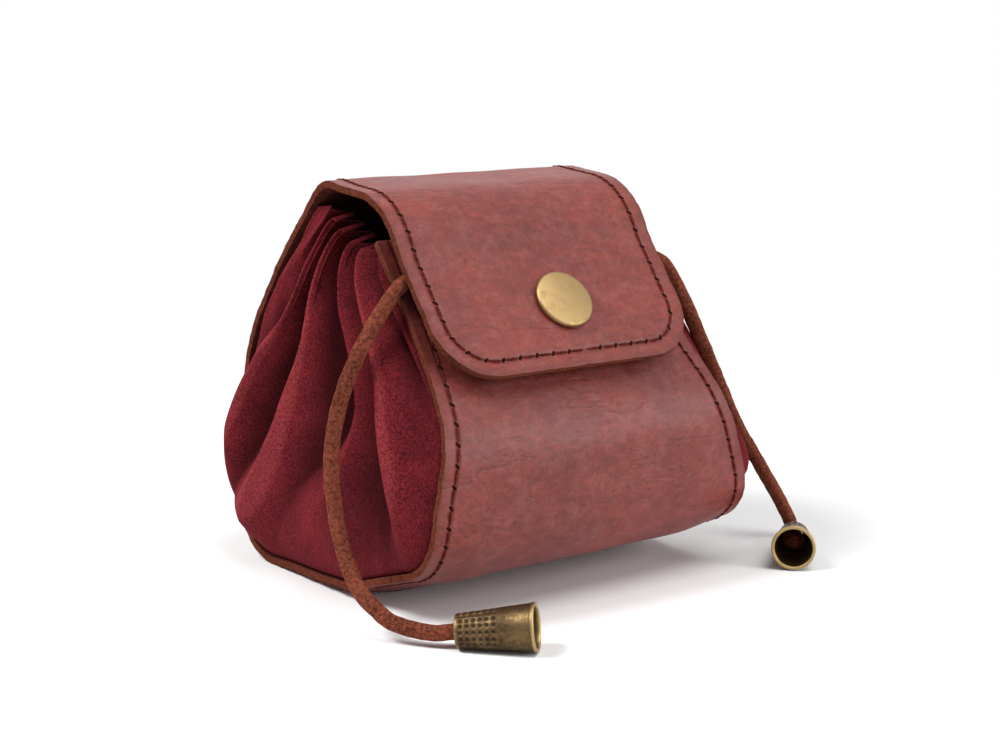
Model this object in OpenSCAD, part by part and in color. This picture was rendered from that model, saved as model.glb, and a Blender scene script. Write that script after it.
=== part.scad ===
// Small leather drawstring pouch with a snap flap, pleated suede sides and bell cord ends.
// Millimetres, +Z up, front towards -Y, origin at the middle of the base on the table.

/* [Leather strip] */
// Thickness of the leather
leather_t = 1.7; // [1.2:0.1:2.4]
// Height over the fold
bag_height = 98; // [90:1:106]
// Depth from the front bulge to the back bulge
bag_depth = 94; // [86:1:102]
// Width of the strip under the bag
base_width = 94; // [86:1:102]
// Width of the strip at the mouth
mouth_width = 75; // [73:1:80]
// How far the base sits to the right of the mouth
base_lean = 2.2; // [0:0.1:3]
// How far the mouth sits to the left of the middle
mouth_lean = 1.3; // [0:0.1:2]
// Height up to which the strip keeps its base width
wide_z = 15; // [8:1:22]
// Height from which the strip keeps its mouth width
narrow_z = 68; // [60:1:76]
// Radius of the chest, the upper front bulge
chest_r = 24.5; // [21:0.5:27]
// Height of the chest's centre
chest_z = 36; // [33:1:40]
// Radius of the toe, the lower front bulge
toe_r = 18; // [15:0.5:19]
// Height of the toe's centre
toe_z = 26; // [23:1:28]
// Place along Y where the flat base begins
base_front_y = -9; // [-14:1:0]
// Radius into the flat base at the front
base_front_r = 6; // [3:0.5:10]
// Radius of the heel, the lower back corner
heel_r = 20; // [16:0.5:24]
// Radius of the upper back bulge
back_r = 26; // [22:0.5:29]
// Height of the upper back bulge's centre
back_z = 48; // [44:1:52]
// Place along Y of the front panel's top edge
mouth_y = -14; // [-17:0.5:-12]
// Height of the front panel's top edge
mouth_z = 86; // [83:0.5:87]

/* [Flap] */
// Width of the flap
flap_width = 73; // [68:0.5:74]
// How far the flap sits to the left of the snap
flap_shift = 2; // [0:0.1:2.5]
// Radius of the flap's two free corners
flap_corner_r = 14; // [8:0.5:16]
// Radius over the fold
fold_r = 12.5; // [10:0.5:15]
// Place along Y of the fold's centre
fold_y = 9; // [6:0.5:11]
// Radius of the brow, where the flap turns down
brow_r = 21; // [18:0.5:22]
// Height of the brow's crown below the fold
brow_drop = 1; // [0.5:0.5:3]
// How far the brow stands out over the flap's straight part
brow_overhang = 1; // [0.3:0.1:1.6]
// Radius of the hollow below the brow
saddle_r = 14; // [8:0.5:18]
// Length of the flap below the front panel's top edge
flap_reach = 41; // [39:0.5:44]
// Gap between the flap and the front panel
flap_gap = 4.2; // [4.1:0.1:5]
// Direction that the leather faces at the hinge line, in degrees
hinge_angle = 50; // [45:1:70]
// Gap at the hinge line
hinge_gap = 0.2; // [0.1:0.05:0.4]

/* [Suede sides] */
// Thickness of the suede
suede_t = 1.6; // [1.2:0.1:2]
// Distance of the suede from the leather's inner face
seam_gap = 0.3; // [0.2:0.05:0.5]
// Distance of the suede from the strip's edge at the seam
seam_inset = 1.2; // [0.6:0.1:3]
// Further distance of the suede from the strip's edge at the upper back
back_inset = 3.2; // [1:0.1:3.6]
// Depth of a deep pleat from ridge to valley
pleat_depth = 10; // [4:0.5:11]
// How far the middle of the left side swells outwards
left_swell = 9; // [4:0.5:11]
// How far the middle of the right side swells outwards
right_swell = 6.5; // [4:0.5:7]
// Half of the distance between the two gathered tops
gather_x = 34; // [33.5:0.5:36]
// Dip of the gathered top between front and back
gather_dip = 4; // [0:0.5:8]

/* [Snap] */
// Distance of the snap from the front panel's top edge, along the panel
snap_station = 24; // [23:0.5:28]
// Diameter of the cap
cap_d = 15; // [12.5:0.5:15]
// Height of the cap's rim
cap_rim_h = 1.5; // [1:0.1:2]
// Height of the cap's crown above its rim
cap_crown_h = 0.5; // [0.2:0.1:0.8]
// Diameter of the posts that hold the snap's halves
post_d = 3.6; // [3:0.1:4]
// Diameter of the socket
socket_d = 12.5; // [11.5:0.5:13.5]
// Diameter of the socket's cavity
cavity_d = 7.8; // [7.6:0.1:8.4]
// Height of the socket
socket_h = 2.6; // [2.4:0.1:3]
// Thickness of the socket's roof
socket_roof_t = 0.6; // [0.5:0.1:0.8]
// Diameter of the spring's wire
spring_wire_d = 0.6; // [0.4:0.1:0.8]
// Diameter of the stud's head
stud_d = 5.6; // [5:0.1:5.8]
// Height of the stud above its base
stud_h = 2.4; // [2:0.1:2.6]
// Diameter of the stud's base and of the back plate
stud_base_d = 10; // [9:0.5:11]
// Thickness of the stud's base and of the back plate
plate_t = 0.8; // [0.6:0.1:1]
// Clearance between the snap's pieces and the leather
snap_clear = 0.1; // [0.05:0.05:0.2]

/* [Drawstring] */
// Diameter of the leather cord
cord_d = 3.6; // [3:0.1:3.7]
// Clearance of the cord in its holes and against the leather
cord_clear = 0.3; // [0.2:0.05:0.4]
// Distance of each cord hole from the middle of the front panel
hole_x = 27; // [24:0.5:27.5]
// Distance of the cord holes from the front panel's top edge, along the panel
hole_station = 12; // [11:0.5:13]
// Radius in which the cord turns out of its hole
slot_bend_r = 5; // [4.5:0.25:5.5]
// Radius in which the cord turns inside the pouch
run_bend_r = 8; // [7.4:0.1:9]
// Depth below the front panel at which the cord turns level
run_depth = 7; // [6.5:0.1:8]

/* [Bells] */
// Length of a bell
bell_l = 18; // [16:0.5:20]
// Diameter of a bell at its mouth
bell_mouth_d = 11; // [10:0.5:12]
// Diameter of a bell at its small end
bell_end_d = 7.8; // [7.4:0.1:8.4]
// Thickness of a bell's wall
bell_wall = 0.8; // [0.6:0.1:1]
// Thickness of a bell's end wall
bell_end_t = 1.2; // [1:0.1:1.6]
// Width of the bead around the mouth
bead_w = 1; // [0.6:0.1:1.4]
// Height of the bead above the wall
bead_h = 0.25; // [0.1:0.05:0.4]
// Clearance of the cord in the bell's hole
bell_clear = 0.6; // [0.5:0.05:0.8]
// Diameter of the knot in a bell
knot_d = 5.8; // [5.4:0.1:6]
// Length of the knot in a bell
knot_l = 5; // [4:0.5:6]
// Distance of the knot from the bell's end wall
knot_gap = 0.3; // [0.2:0.05:0.5]
// Length of the cord's tail behind the knot
tail_l = 2; // [1:0.5:3]
// Travel of a bell along its cord
bell_travel = 4; // [2:0.5:5]

/* [Stitching] */
// Diameter of the thread
thread_d = 0.8; // [0.5:0.1:1]
// Distance of the stitches from the leather's edge
stitch_inset = 3.4; // [2.5:0.1:5]
// Distance from one stitch to the next
stitch_pitch = 4.7; // [4:0.1:6]
// Length of a stitch on the outside
stitch_l = 3.4; // [2.5:0.1:3.8]
// Distance of the first stitch from the front panel's top edge
seam_start = 20; // [18:1:30]
// Distance of the stitches from the hinge line
hinge_margin = 5; // [3:0.5:10]
// Height of the thread over the leather
thread_lift = 0.2; // [0.15:0.05:0.3]

/* [Hidden] */

// Smoothness of curves and of revolved pieces
arc_step = 9;
run_step = 6;
round_fn = 48;
leather_colour = [0.53, 0.30, 0.28];
suede_colour = [0.45, 0.15, 0.18];
cord_colour = [0.50, 0.28, 0.18];
brass_colour = [0.72, 0.60, 0.38];
thread_colour = [0.28, 0.11, 0.10];

// The strip runs like a belt over discs [y, z, radius] and ends at points, where the radius is 0
mouth_edge = [mouth_y, mouth_z, 0];
chest = [chest_r - bag_depth / 2, chest_z, chest_r];
toe = [toe_r - bag_depth / 2, toe_z, toe_r];
base_front = [base_front_y, base_front_r, base_front_r];
heel = [bag_depth / 2 - heel_r, heel_r, heel_r];
back = [bag_depth / 2 - back_r, back_z, back_r];
fold = [fold_y, bag_height - fold_r, fold_r];

// Angle brought between 0 and 360 degrees
function wrap(a) = a - 360 * floor(a / 360);

// Direction that the belt faces on its straight run from disc a to disc b
function facing(a, b) =
    let (d = [b[0] - a[0], b[1] - a[1]])
    atan2(d[1], d[0]) - acos(min(1, (a[2] - b[2]) / norm(d)));

// Points [y, z, facing] over one disc, moved inwards by an inset
function over_disc(disc, from, to, inset) =
    let (
        turn = disc[2] >= 0 ? wrap(to - from + 0.01) - 0.01 : 0.01 - wrap(from - to + 0.01),
        steps = max(1, ceil(abs(turn) / arc_step)),
        r = disc[2] - inset
    )
    disc[2] == 0
        ? [[disc[0] - inset * cos(from), disc[1] - inset * sin(from), from]]
        : [for (k = [0 : steps]) let (a = from + turn * k / steps)
            [disc[0] + r * cos(a), disc[1] + r * sin(a), a]];

// Distance in the plane of the profile
function reach(a, b) = norm([b[0] - a[0], b[1] - a[1]]);

// An arc's points and those of the straight run to the next arc
function arc_and_run(arc, next) =
    let (
        last = arc[len(arc) - 1],
        far = reach(last, next),
        steps = ceil(far / run_step),
        kept = far < 0.05 ? len(arc) - 2 : len(arc) - 1
    )
    concat(
        [for (k = [0 : 1 : kept]) arc[k]],
        [for (k = [1 : 1 : steps - 1]) [
            last[0] + (next[0] - last[0]) * k / steps,
            last[1] + (next[1] - last[1]) * k / steps,
            next[2]
        ]]
    );

// Whole belt over a list of discs, from one facing to another
function belt(discs, first, last, inset) =
    let (
        ends = len(discs) - 1,
        turns = [for (i = [0 : ends - 1]) facing(discs[i], discs[i + 1])],
        arcs = [for (i = [0 : ends]) over_disc(
            discs[i],
            i == 0 ? first : turns[i - 1],
            i == ends ? last : turns[i],
            inset
        )]
    )
    [for (i = [0 : ends]) each i == ends ? arcs[i] : arc_and_run(arcs[i], arcs[i + 1][0])];

// The straight upper part of the front panel, measured from its top edge
flank_angle = facing(mouth_edge, chest);
flank_down = [cos(flank_angle + 90), sin(flank_angle + 90)];
flank_out = [cos(flank_angle), sin(flank_angle)];
function on_flank(station, height) =
    [mouth_y, mouth_z] + station * flank_down + height * flank_out;

// The brow stands over the flap's straight part, which lies parallel to the front panel
flap_top = flap_gap + leather_t;
brow_z = bag_height - brow_drop - brow_r;
brow_height = flap_top + brow_overhang - brow_r;
brow_y = mouth_y + (brow_height - (brow_z - mouth_z) * flank_out[1]) / flank_out[0];
brow = [brow_y, brow_z, brow_r];
brow_station = [brow_y - mouth_y, brow_z - mouth_z] * flank_down;
saddle_run = sqrt(pow(brow_r + saddle_r, 2) - pow(brow_r + saddle_r - brow_overhang, 2));
saddle_centre = on_flank(brow_station + saddle_run, flap_top + saddle_r);
saddle = [saddle_centre[0], saddle_centre[1], -saddle_r];
corner_start = on_flank(flap_reach - flap_corner_r, flap_top);
hinge_turn = hinge_gap / fold_r * 180 / PI;

body_discs = [mouth_edge, chest, toe, base_front, heel, back, fold];
flap_discs = [fold, brow, saddle, [corner_start[0], corner_start[1], 0]];
function body_belt(inset) = belt(body_discs, flank_angle, hinge_angle, inset);
function flap_belt(inset) = belt(flap_discs, hinge_angle + hinge_turn, flank_angle, inset);

// Half the width of the strip at a height, wide at the base and narrow at the mouth
function half_width(z) =
    let (t = min(1, max(0, (z - wide_z) / (narrow_z - wide_z))))
    mouth_width / 2 + (base_width - mouth_width) / 2 * (1 + cos(180 * t)) / 2;

// Value that rises smoothly from 0 to 1 between two limits
function ease(low, high, x) =
    let (t = min(1, max(0, (x - low) / (high - low))))
    t * t * (3 - 2 * t);

// Shift of the strip to the right at a height
lean_foot = 12;
lean_top = 48;
mouth_foot = 40;
mouth_top = 65;
function lean(z) =
    base_lean * ease(lean_top, lean_foot, z) - mouth_lean * ease(mouth_foot, mouth_top, z);

// The flap's rounded corners as pairs of distance and half width
corner_steps = 6;
corner_turns = [for (k = [1 : corner_steps]) 90 * k / corner_steps];
function flap_points(inset) = concat(
    flap_belt(inset),
    [for (a = corner_turns)
        let (p = on_flank(flap_reach - flap_corner_r * (1 - sin(a)), flap_top - inset))
        [p[0], p[1], flank_angle]]
);
flap_halves = concat(
    [for (p = flap_belt(0)) flap_width / 2],
    [for (a = corner_turns) flap_width / 2 - flap_corner_r * (1 - cos(a))]
);

// Distance travelled along a list of points
function lengths(points) =
    [for (i = 0, s = 0; i < len(points);
        i = i + 1, s = s + (i < len(points) ? norm(points[i] - points[i - 1]) : 0)) s];

// One column of a list against the distance travelled
function column(marks, points, k) = [for (i = [0 : len(marks) - 1]) [marks[i], points[i][k]]];

// Leather between an outer and an inner belt, with half of its width and its shift at each point
module leather(outer, inner, half, shift) {
    n = len(outer);
    corners = [for (i = [0 : n - 1]) each [
        [shift[i] - half[i], outer[i][0], outer[i][1]],
        [shift[i] + half[i], outer[i][0], outer[i][1]],
        [shift[i] + half[i], inner[i][0], inner[i][1]],
        [shift[i] - half[i], inner[i][0], inner[i][1]]
    ]];
    walls = [for (i = [0 : n - 2], k = [0 : 3])
        let (a = 4 * i + k, b = 4 * i + (k + 1) % 4)
        each [[a, b + 4, a + 4], [a, b, b + 4]]];
    last = 4 * n - 4;
    ends = [[0, 2, 1], [0, 3, 2], [last, last + 1, last + 2], [last, last + 2, last + 3]];
    polyhedron(corners, concat(walls, ends));
}

// Local Z stands out of the front panel, and local Y runs up it
module at_flank(x, station, height) {
    p = on_flank(station, height);
    translate([x, p[0], p[1]])
        rotate([flank_angle - 90, 0, 0])
        children();
}

// Slot that lets the cord turn from the inside to the face of the front panel
slot_run = 1.6;
module cord_slot(side) {
    slot_d = cord_d + 2 * cord_clear;
    depth = 3 * leather_t;
    at_flank(side * hole_x, hole_station, -2 * leather_t) {
        cylinder(d = slot_d, h = depth, $fn = round_fn);
        translate([side * slot_run, 0, 0])
            cylinder(d = slot_d, h = depth, $fn = round_fn);
        translate([side * slot_run / 2, 0, depth / 2])
            cube([slot_run, slot_d, depth], center = true);
    }
}

// Front, base and back of the pouch in one strip of leather
module body_panel() {
    outer = body_belt(0);
    color(leather_colour)
        difference() {
            leather(
                outer, body_belt(leather_t),
                [for (p = outer) half_width(p[1])], [for (p = outer) lean(p[1])]
            );
            at_flank(0, snap_station, -2 * leather_t)
                cylinder(d = post_d + 2 * snap_clear, h = 3 * leather_t, $fn = round_fn);
            cord_slot(-1);
            cord_slot(1);
        }
}

// Flap that bends over the fold and closes on the front
module flap_panel() {
    color(leather_colour)
        difference() {
            leather(flap_points(0), flap_points(leather_t), flap_halves, [for (h = flap_halves) -flap_shift]);
            at_flank(0, snap_station, flap_gap - leather_t)
                cylinder(d = post_d + 2 * snap_clear, h = 3 * leather_t, $fn = round_fn);
        }
}

// Ridges and valleys of a side from front to back, each at even steps from the seam to the gather:
// places as shares of the seam, and heights as shares of the pleats' depth
folds = [
    [[0, 0, 0, 0, 0], [0, 0, 0, 0, 0]],
    [[0.1, 0.08, 0.06, 0.05, 0.06], [0, 0.05, 0.1, 0.15, 0.15]],
    [[0.17, 0.15, 0.11, 0.12, 0.17], [0, -0.35, -0.7, -0.7, -0.6]],
    [[0.32, 0.3, 0.255, 0.26, 0.3], [0, 0.25, 0.3, 0.25, 0.2]],
    [[0.345, 0.335, 0.31, 0.33, 0.4], [0, -0.25, -0.4, -0.45, -0.5]],
    [[0.38, 0.37, 0.35, 0.38, 0.48], [0, 0, 0.05, 0.15, 0.2]],
    [[0.46, 0.43, 0.4, 0.43, 0.57], [0, -0.1, -0.7, -0.8, -0.65]],
    [[0.65, 0.645, 0.62, 0.63, 0.68], [0, 0.3, 0.35, 0.3, 0.2]],
    [[0.68, 0.675, 0.67, 0.7, 0.77], [0, -0.2, -0.45, -0.55, -0.6]],
    [[0.73, 0.715, 0.72, 0.77, 0.86], [0, 0.5, 0.3, 0.2, 0.2]],
    [[0.77, 0.77, 0.78, 0.84, 0.92], [0, -0.2, -0.3, -0.4, -0.5]],
    [[0.82, 0.83, 0.86, 0.92, 0.97], [0, 0.15, 0.15, 0.15, 0.1]],
    [[1, 1, 1, 1, 1], [0, 0, 0, 0, 0]]
];

// Smooth curve through evenly spaced values
function through(knots, v) =
    let (
        n = len(knots) - 1,
        i = min(n - 1, floor(v * n)),
        t = v * n - i,
        b = knots[i],
        c = knots[i + 1],
        a = i > 0 ? knots[i - 1] : 2 * b - c,
        d = i < n - 1 ? knots[i + 2] : 2 * c - b
    )
    b + (c - a) * t / 2 + (2 * a - 5 * b + 4 * c - d) * t * t / 2
        + (3 * b - a - 3 * c + d) * t * t * t / 2;

// Rise from a valley to a ridge, sharp in the valley and round on the ridge
function fold_rise(t) = (2 * t + sin(90 * t)) / 3;

// Suede side, spread along the seam on the leather's inner face, swollen and folded into pleats
side_rows = 8;
fold_steps = 4;
gather_run = 3;
seam_stop = 10;
back_start = 0.62;
back_full = 0.8;
module gusset(shift, bulge) {
    seam = belt(body_discs, flank_angle, hinge_angle - seam_stop, leather_t + seam_gap);
    columns = (len(folds) - 1) * fold_steps;
    marks = lengths([for (p = seam) [p[0], p[1]]]);
    total = marks[len(marks) - 1];
    ys = column(marks, seam, 0);
    zs = column(marks, seam, 1);
    front = seam[0];
    rear = seam[len(seam) - 1];
    points = [for (c = [0 : columns], r = [0 : side_rows], face = [0, 1])
        let (
            v = r / side_rows,
            k = min(len(folds) - 2, floor(c / fold_steps)),
            t = c / fold_steps - k,
            ua = through(folds[k][0], v),
            ub = through(folds[k + 1][0], v),
            ha = through(folds[k][1], v),
            hb = through(folds[k + 1][1], v),
            u = ua + (ub - ua) * t,
            rise = hb > ha ? fold_rise(t) : 1 - fold_rise(1 - t),
            pleat = pleat_depth * (ha + (hb - ha) * rise),
            s = gather_run + (total - 2 * gather_run) * u,
            y0 = lookup(s, ys),
            z0 = lookup(s, zs),
            y1 = front[0] + gather_run + (rear[0] - front[0] - 2 * gather_run) * u,
            z1 = front[1] + (rear[1] - front[1]) * u - gather_dip * sin(180 * u),
            inset = seam_inset + back_inset * ease(back_start, back_full, u) * ease(1, 0.93, u),
            edge = half_width(z0) - inset - suede_t,
            swell = bulge * pow(max(0, sin(180 * v)), 0.6) * pow(max(0, sin(180 * u)), 0.7),
            x = edge + (gather_x - suede_t - edge) * v + swell + pleat
        )
        [
            shift * lean(z0) * (1 - v) - x - face * suede_t,
            y0 + (y1 - y0) * v,
            z0 + (z1 - z0) * v
        ]];
    stride = 2 * (side_rows + 1);
    sheets = [for (c = [0 : columns - 1], r = [0 : side_rows - 1], face = [0, 1])
        let (a = c * stride + 2 * r + face, b = a + stride, d = a + 2, e = b + 2)
        each face == 0 ? [[a, e, b], [a, d, e]] : [[a, b, e], [a, e, d]]];
    hems = [for (c = [0 : columns - 1], r = [0, side_rows])
        let (a = c * stride + 2 * r, b = a + stride)
        each r == 0 ? [[a, b + 1, a + 1], [a, b, b + 1]] : [[a, a + 1, b + 1], [a, b + 1, b]]];
    ends = [for (r = [0 : side_rows - 1], c = [0, columns])
        let (a = c * stride + 2 * r, d = a + 2)
        each c == 0 ? [[a, a + 1, d + 1], [a, d + 1, d]] : [[a, d + 1, a + 1], [a, d, d + 1]]];
    polyhedron(points, concat(sheets, hems, ends));
}

module left_gusset() {
    color(suede_colour) gusset(1, left_swell);
}

module right_gusset() {
    color(suede_colour) mirror([1, 0, 0]) gusset(-1, right_swell);
}

// Heights in the snap's stack, measured from the front panel's outer face
socket_top = flap_gap - snap_clear;
socket_foot = socket_top - socket_h;
cavity_top = socket_top - socket_roof_t;
stud_foot = snap_clear;
hole_d = post_d + 2 * snap_clear;

// Round cap with a soft rim on the flap, and its post
module snap_cap() {
    r = cap_d / 2;
    rim = cap_rim_h / 2;
    seat = flap_top + snap_clear;
    color(brass_colour)
        at_flank(0, snap_station, seat) {
            rotate_extrude($fn = round_fn)
                polygon(concat(
                    [[0, 0], [r - rim, 0]],
                    [for (k = [1 : 7]) let (a = -90 + 180 * k / 8)
                        [r - rim + rim * cos(a), rim + rim * sin(a)]],
                    [[r - rim, cap_rim_h], [r * 0.55, cap_rim_h + cap_crown_h * 0.75]],
                    [[0, cap_rim_h + cap_crown_h]]
                ));
            translate([0, 0, cavity_top - seat])
                cylinder(d = post_d, h = seat - cavity_top, $fn = round_fn);
        }
}

// Ring-shaped half of the snap under the flap, with a groove for its spring
module snap_socket() {
    groove_h = spring_wire_d + 2 * snap_clear;
    color(brass_colour)
        at_flank(0, snap_station, socket_foot)
        difference() {
            cylinder(d = socket_d, h = socket_h, $fn = round_fn);
            translate([0, 0, -1])
                cylinder(d = cavity_d, h = 1 + socket_h - socket_roof_t, $fn = round_fn);
            translate([0, 0, socket_h / 2 - groove_h / 2 - snap_clear])
                cylinder(d = cavity_d + 2 * spring_wire_d, h = groove_h, $fn = round_fn);
            cylinder(d = hole_d, h = 2 * socket_h, $fn = round_fn);
        }
}

// Open ring of wire that grips the stud
spring_turn = 310;
module snap_spring() {
    color(brass_colour)
        at_flank(0, snap_station, socket_foot + socket_h / 2 - snap_clear)
        rotate_extrude(angle = spring_turn, $fn = round_fn)
        translate([cavity_d / 2 + spring_wire_d / 2 - snap_clear, 0])
        circle(d = spring_wire_d, $fn = 16);
}

// Stud on the front panel
module snap_stud() {
    r = stud_d / 2;
    neck = stud_h * 0.4;
    color(brass_colour)
        at_flank(0, snap_station, stud_foot)
        difference() {
            rotate_extrude($fn = round_fn)
                polygon([
                    [0, 0], [stud_base_d / 2, 0], [stud_base_d / 2, plate_t / 2],
                    [stud_base_d / 2 - plate_t / 2, plate_t], [r * 0.85, plate_t],
                    [r * 0.85, plate_t + neck], [r, plate_t + neck * 1.4],
                    [r, plate_t + stud_h * 0.85], [r * 0.85, plate_t + stud_h], [0, plate_t + stud_h]
                ]);
            translate([0, 0, -1])
                cylinder(d = hole_d, h = 1 + plate_t + stud_h / 2, $fn = round_fn);
        }
}

// Back plate and post behind the front panel that hold the stud
module snap_post() {
    foot = -leather_t - snap_clear - plate_t;
    color(brass_colour)
        at_flank(0, snap_station, foot) {
            cylinder(d = stud_base_d, h = plate_t, $fn = round_fn);
            cylinder(d = post_d, h = stud_foot + plate_t + stud_h / 2 - snap_clear - foot, $fn = round_fn);
        }
}

// Round tube along a list of points, with flat ends and rings that don't twist
tube_sides = 8;
function unit(v) = v / norm(v);
function square_to(v, t) = unit(v - (v * t) * t);
module tube(points, d) {
    n = len(points);
    way = [for (i = [0 : n - 1]) unit(points[min(i + 1, n - 1)] - points[max(i - 1, 0)])];
    side = [for (i = 0, a = square_to([0.3, 0.8, 0.5], way[0]); i < n;
        i = i + 1, a = square_to(a, way[min(i, n - 1)])) a];
    rings = [for (i = [0 : n - 1], k = [0 : tube_sides - 1])
        let (w = 360 * k / tube_sides)
        points[i] + d / 2 * (cos(w) * side[i] + sin(w) * cross(way[i], side[i]))];
    skin = [for (i = [0 : n - 2], k = [0 : tube_sides - 1])
        let (p = i * tube_sides + k, q = i * tube_sides + (k + 1) % tube_sides)
        each [[p, p + tube_sides, q + tube_sides], [p, q + tube_sides, q]]];
    top = (n - 1) * tube_sides;
    first = [for (k = [1 : tube_sides - 2]) [0, k, k + 1]];
    last = [for (k = [1 : tube_sides - 2]) [top, top + k + 1, top + k]];
    polyhedron(rings, concat(first, skin, last));
}

// Points of a rounded corner at b on the way from a to c
bend_step = 15;
function bend(a, b, c, r) =
    let (
        u = unit(a - b),
        v = unit(c - b),
        half = acos(u * v) / 2,
        turn = 180 - 2 * half,
        centre = b + unit(u + v) * r / sin(half),
        p = b + u * r / tan(half) - centre,
        q = b + v * r / tan(half) - centre,
        steps = ceil(turn / bend_step)
    )
    [for (k = [0 : steps]) let (t = turn * k / steps)
        centre + (sin(turn - t) * p + sin(t) * q) / sin(turn)];

// Place on the front panel in all three directions
function on_front(x, station, height) =
    let (p = on_flank(station, height))
    [x, p[0], p[1]];

// The cord's held stretch leaves the left hole, turns inside the pouch and follows the back
cord_height = cord_d / 2 + cord_clear;
exit_x = hole_x + slot_bend_r + 0.5;
level = on_front(-hole_x, hole_station, -run_depth);
back_line = belt(body_discs, flank_angle, hinge_angle, leather_t + cord_height);
back_run_y = lookup(level[2], [for (p = back_line) if (p[0] > fold_y) [p[1], p[0]]]);
left_exit = on_front(-exit_x, hole_station, cord_height);
right_exit = on_front(exit_x, hole_station, cord_height);
hole_corner = on_front(-hole_x, hole_station, cord_height);
back_corner = [-hole_x, back_run_y, level[2]];
half_run = concat(
    [left_exit],
    bend(left_exit, hole_corner, level, slot_bend_r),
    bend(hole_corner, level, back_corner, run_bend_r),
    bend(level, back_corner, [0, back_run_y, level[2]], run_bend_r)
);
held_run = concat(
    half_run,
    [for (i = [len(half_run) - 1 : -1 : 0]) [-half_run[i][0], half_run[i][1], half_run[i][2]]]
);

module drawstring_run() {
    color(cord_colour) tube(held_run, cord_d);
}

// The bells lie on the table, on their small ends and on their beads
bell_rim_r = bell_mouth_d / 2 + bead_h;
bell_tilt = atan((bell_rim_r - bell_end_d / 2) / (bell_l - bead_w / 2));
bell_floor = 0.05;
bell_z = bell_end_d / 2 * cos(bell_tilt) + bell_floor;
left_bell_end = [-44, -53, bell_z];
left_bell_yaw = -45;
right_bell_end = [70.5, -41, bell_z];
right_bell_yaw = -135;

// A point on a bell's axis, measured from its small end towards its mouth
function bell_axis(end, yaw, along) =
    end + along * [cos(bell_tilt) * cos(yaw), cos(bell_tilt) * sin(yaw), sin(bell_tilt)];

module at_bell(end, yaw) {
    translate(end)
        rotate([0, 90 - bell_tilt, yaw])
        children();
}

// Routes of the two free ends of the cord, from the flap to the bells
knot_foot = bell_end_t + knot_gap;
straight_l = bell_travel + 2;
exit_lead = [1.5, 0, 0];
left_route = concat(
    [left_exit, left_exit - exit_lead],
    [
        [-37, -23.5, 77.6], [-40.3, -24.3, 75.9], [-44, -24.8, 72.2], [-48.4, -25, 66.6],
        [-51.8, -25, 61.2], [-54.5, -24.7, 55.4], [-56.4, -24.2, 49], [-57.6, -23.8, 41.5],
        [-57.8, -24, 33], [-57.4, -25.3, 24.5], [-57, -28, 17], [-56.5, -32, 11], [-55, -37, 7],
        [-53, -42, 4.5]
    ],
    [for (a = [-straight_l, 0, knot_foot]) bell_axis(left_bell_end, left_bell_yaw, a)]
);
loop_r = 7.5;
loop_l = 18;
drop_from = right_exit + [6.5, 0, 0];
drop_to = [43, -28.6, 65.3];
loop_from = [61, -28.3, 32.8];
loop_corner = bell_axis(right_bell_end, right_bell_yaw, -loop_l);
right_route = concat(
    [right_exit],
    bend(right_exit, drop_from, drop_to, loop_r),
    [drop_to, [47.2, -30, 55.6], [53.2, -29.6, 45.1], loop_from, [69, -27.5, 22.5]],
    bend(loop_from, loop_corner, right_bell_end, loop_r),
    [for (a = [0, knot_foot]) bell_axis(right_bell_end, right_bell_yaw, a)]
);

module left_cord() {
    color(cord_colour) tube(left_route, cord_d);
}

module right_cord() {
    color(cord_colour) tube(right_route, cord_d);
}

// Cone-shaped bell with a bead around its mouth and a hole in its small end
module bell() {
    end_r = bell_end_d / 2;
    mouth_r = bell_mouth_d / 2;
    hole_r = cord_d / 2 + bell_clear;
    round_r = bell_wall / 2;
    rotate_extrude($fn = round_fn)
        polygon([
            [hole_r, 0], [end_r - round_r, 0], [end_r, round_r], [mouth_r, bell_l - bead_w],
            [bell_rim_r, bell_l - bead_w / 2], [mouth_r, bell_l], [mouth_r - bell_wall, bell_l],
            [end_r - bell_wall, bell_end_t], [hole_r, bell_end_t]
        ]);
}

module left_bell() {
    color(brass_colour) at_bell(left_bell_end, left_bell_yaw) bell();
}

module right_bell() {
    color(brass_colour) at_bell(right_bell_end, right_bell_yaw) bell();
}

// Knot that stops a bell, with a short tail of cord
module knot() {
    r = cord_d / 2;
    translate([0, 0, knot_foot])
        rotate_extrude($fn = round_fn)
        polygon([
            [0, 0], [r, 0], [knot_d / 2, knot_l * 0.3], [knot_d / 2, knot_l * 0.7],
            [r, knot_l], [r, knot_l + tail_l], [0, knot_l + tail_l]
        ]);
}

module left_knot() {
    color(cord_colour) at_bell(left_bell_end, left_bell_yaw) knot();
}

module right_knot() {
    color(cord_colour) at_bell(right_bell_end, right_bell_yaw) knot();
}

// Straight stitches along a list of points, left out where the leather lies on the table
thread_fn = 8;
module rod(a, b, d) {
    v = b - a;
    translate(a)
        rotate([0, acos(v[2] / norm(v)), atan2(v[1], v[0])])
        cylinder(d = d, h = norm(v), $fn = thread_fn);
}

module stitches(path, start, stop) {
    marks = lengths(path);
    tables = [for (k = [0 : 2]) column(marks, path, k)];
    count = floor((marks[len(marks) - 1] - stop - start) / stitch_pitch);
    for (i = [0 : count]) {
        s = start + i * stitch_pitch;
        a = [for (t = tables) lookup(s, t)];
        b = [for (t = tables) lookup(s + stitch_l, t)];
        if (min(a[2], b[2]) > thread_d) rod(a, b, thread_d);
    }
}

thread_height = thread_d / 2 + thread_lift;
function over(p, x) = [x, p[0] + thread_height * cos(p[2]), p[1] + thread_height * sin(p[2])];
function seam_path(shift) =
    [for (p = body_belt(0)) over(p, stitch_inset - half_width(p[1]) + shift * lean(p[1]))];

module left_seam_thread() {
    color(thread_colour) stitches(seam_path(1), seam_start, hinge_margin + stitch_l);
}

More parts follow.
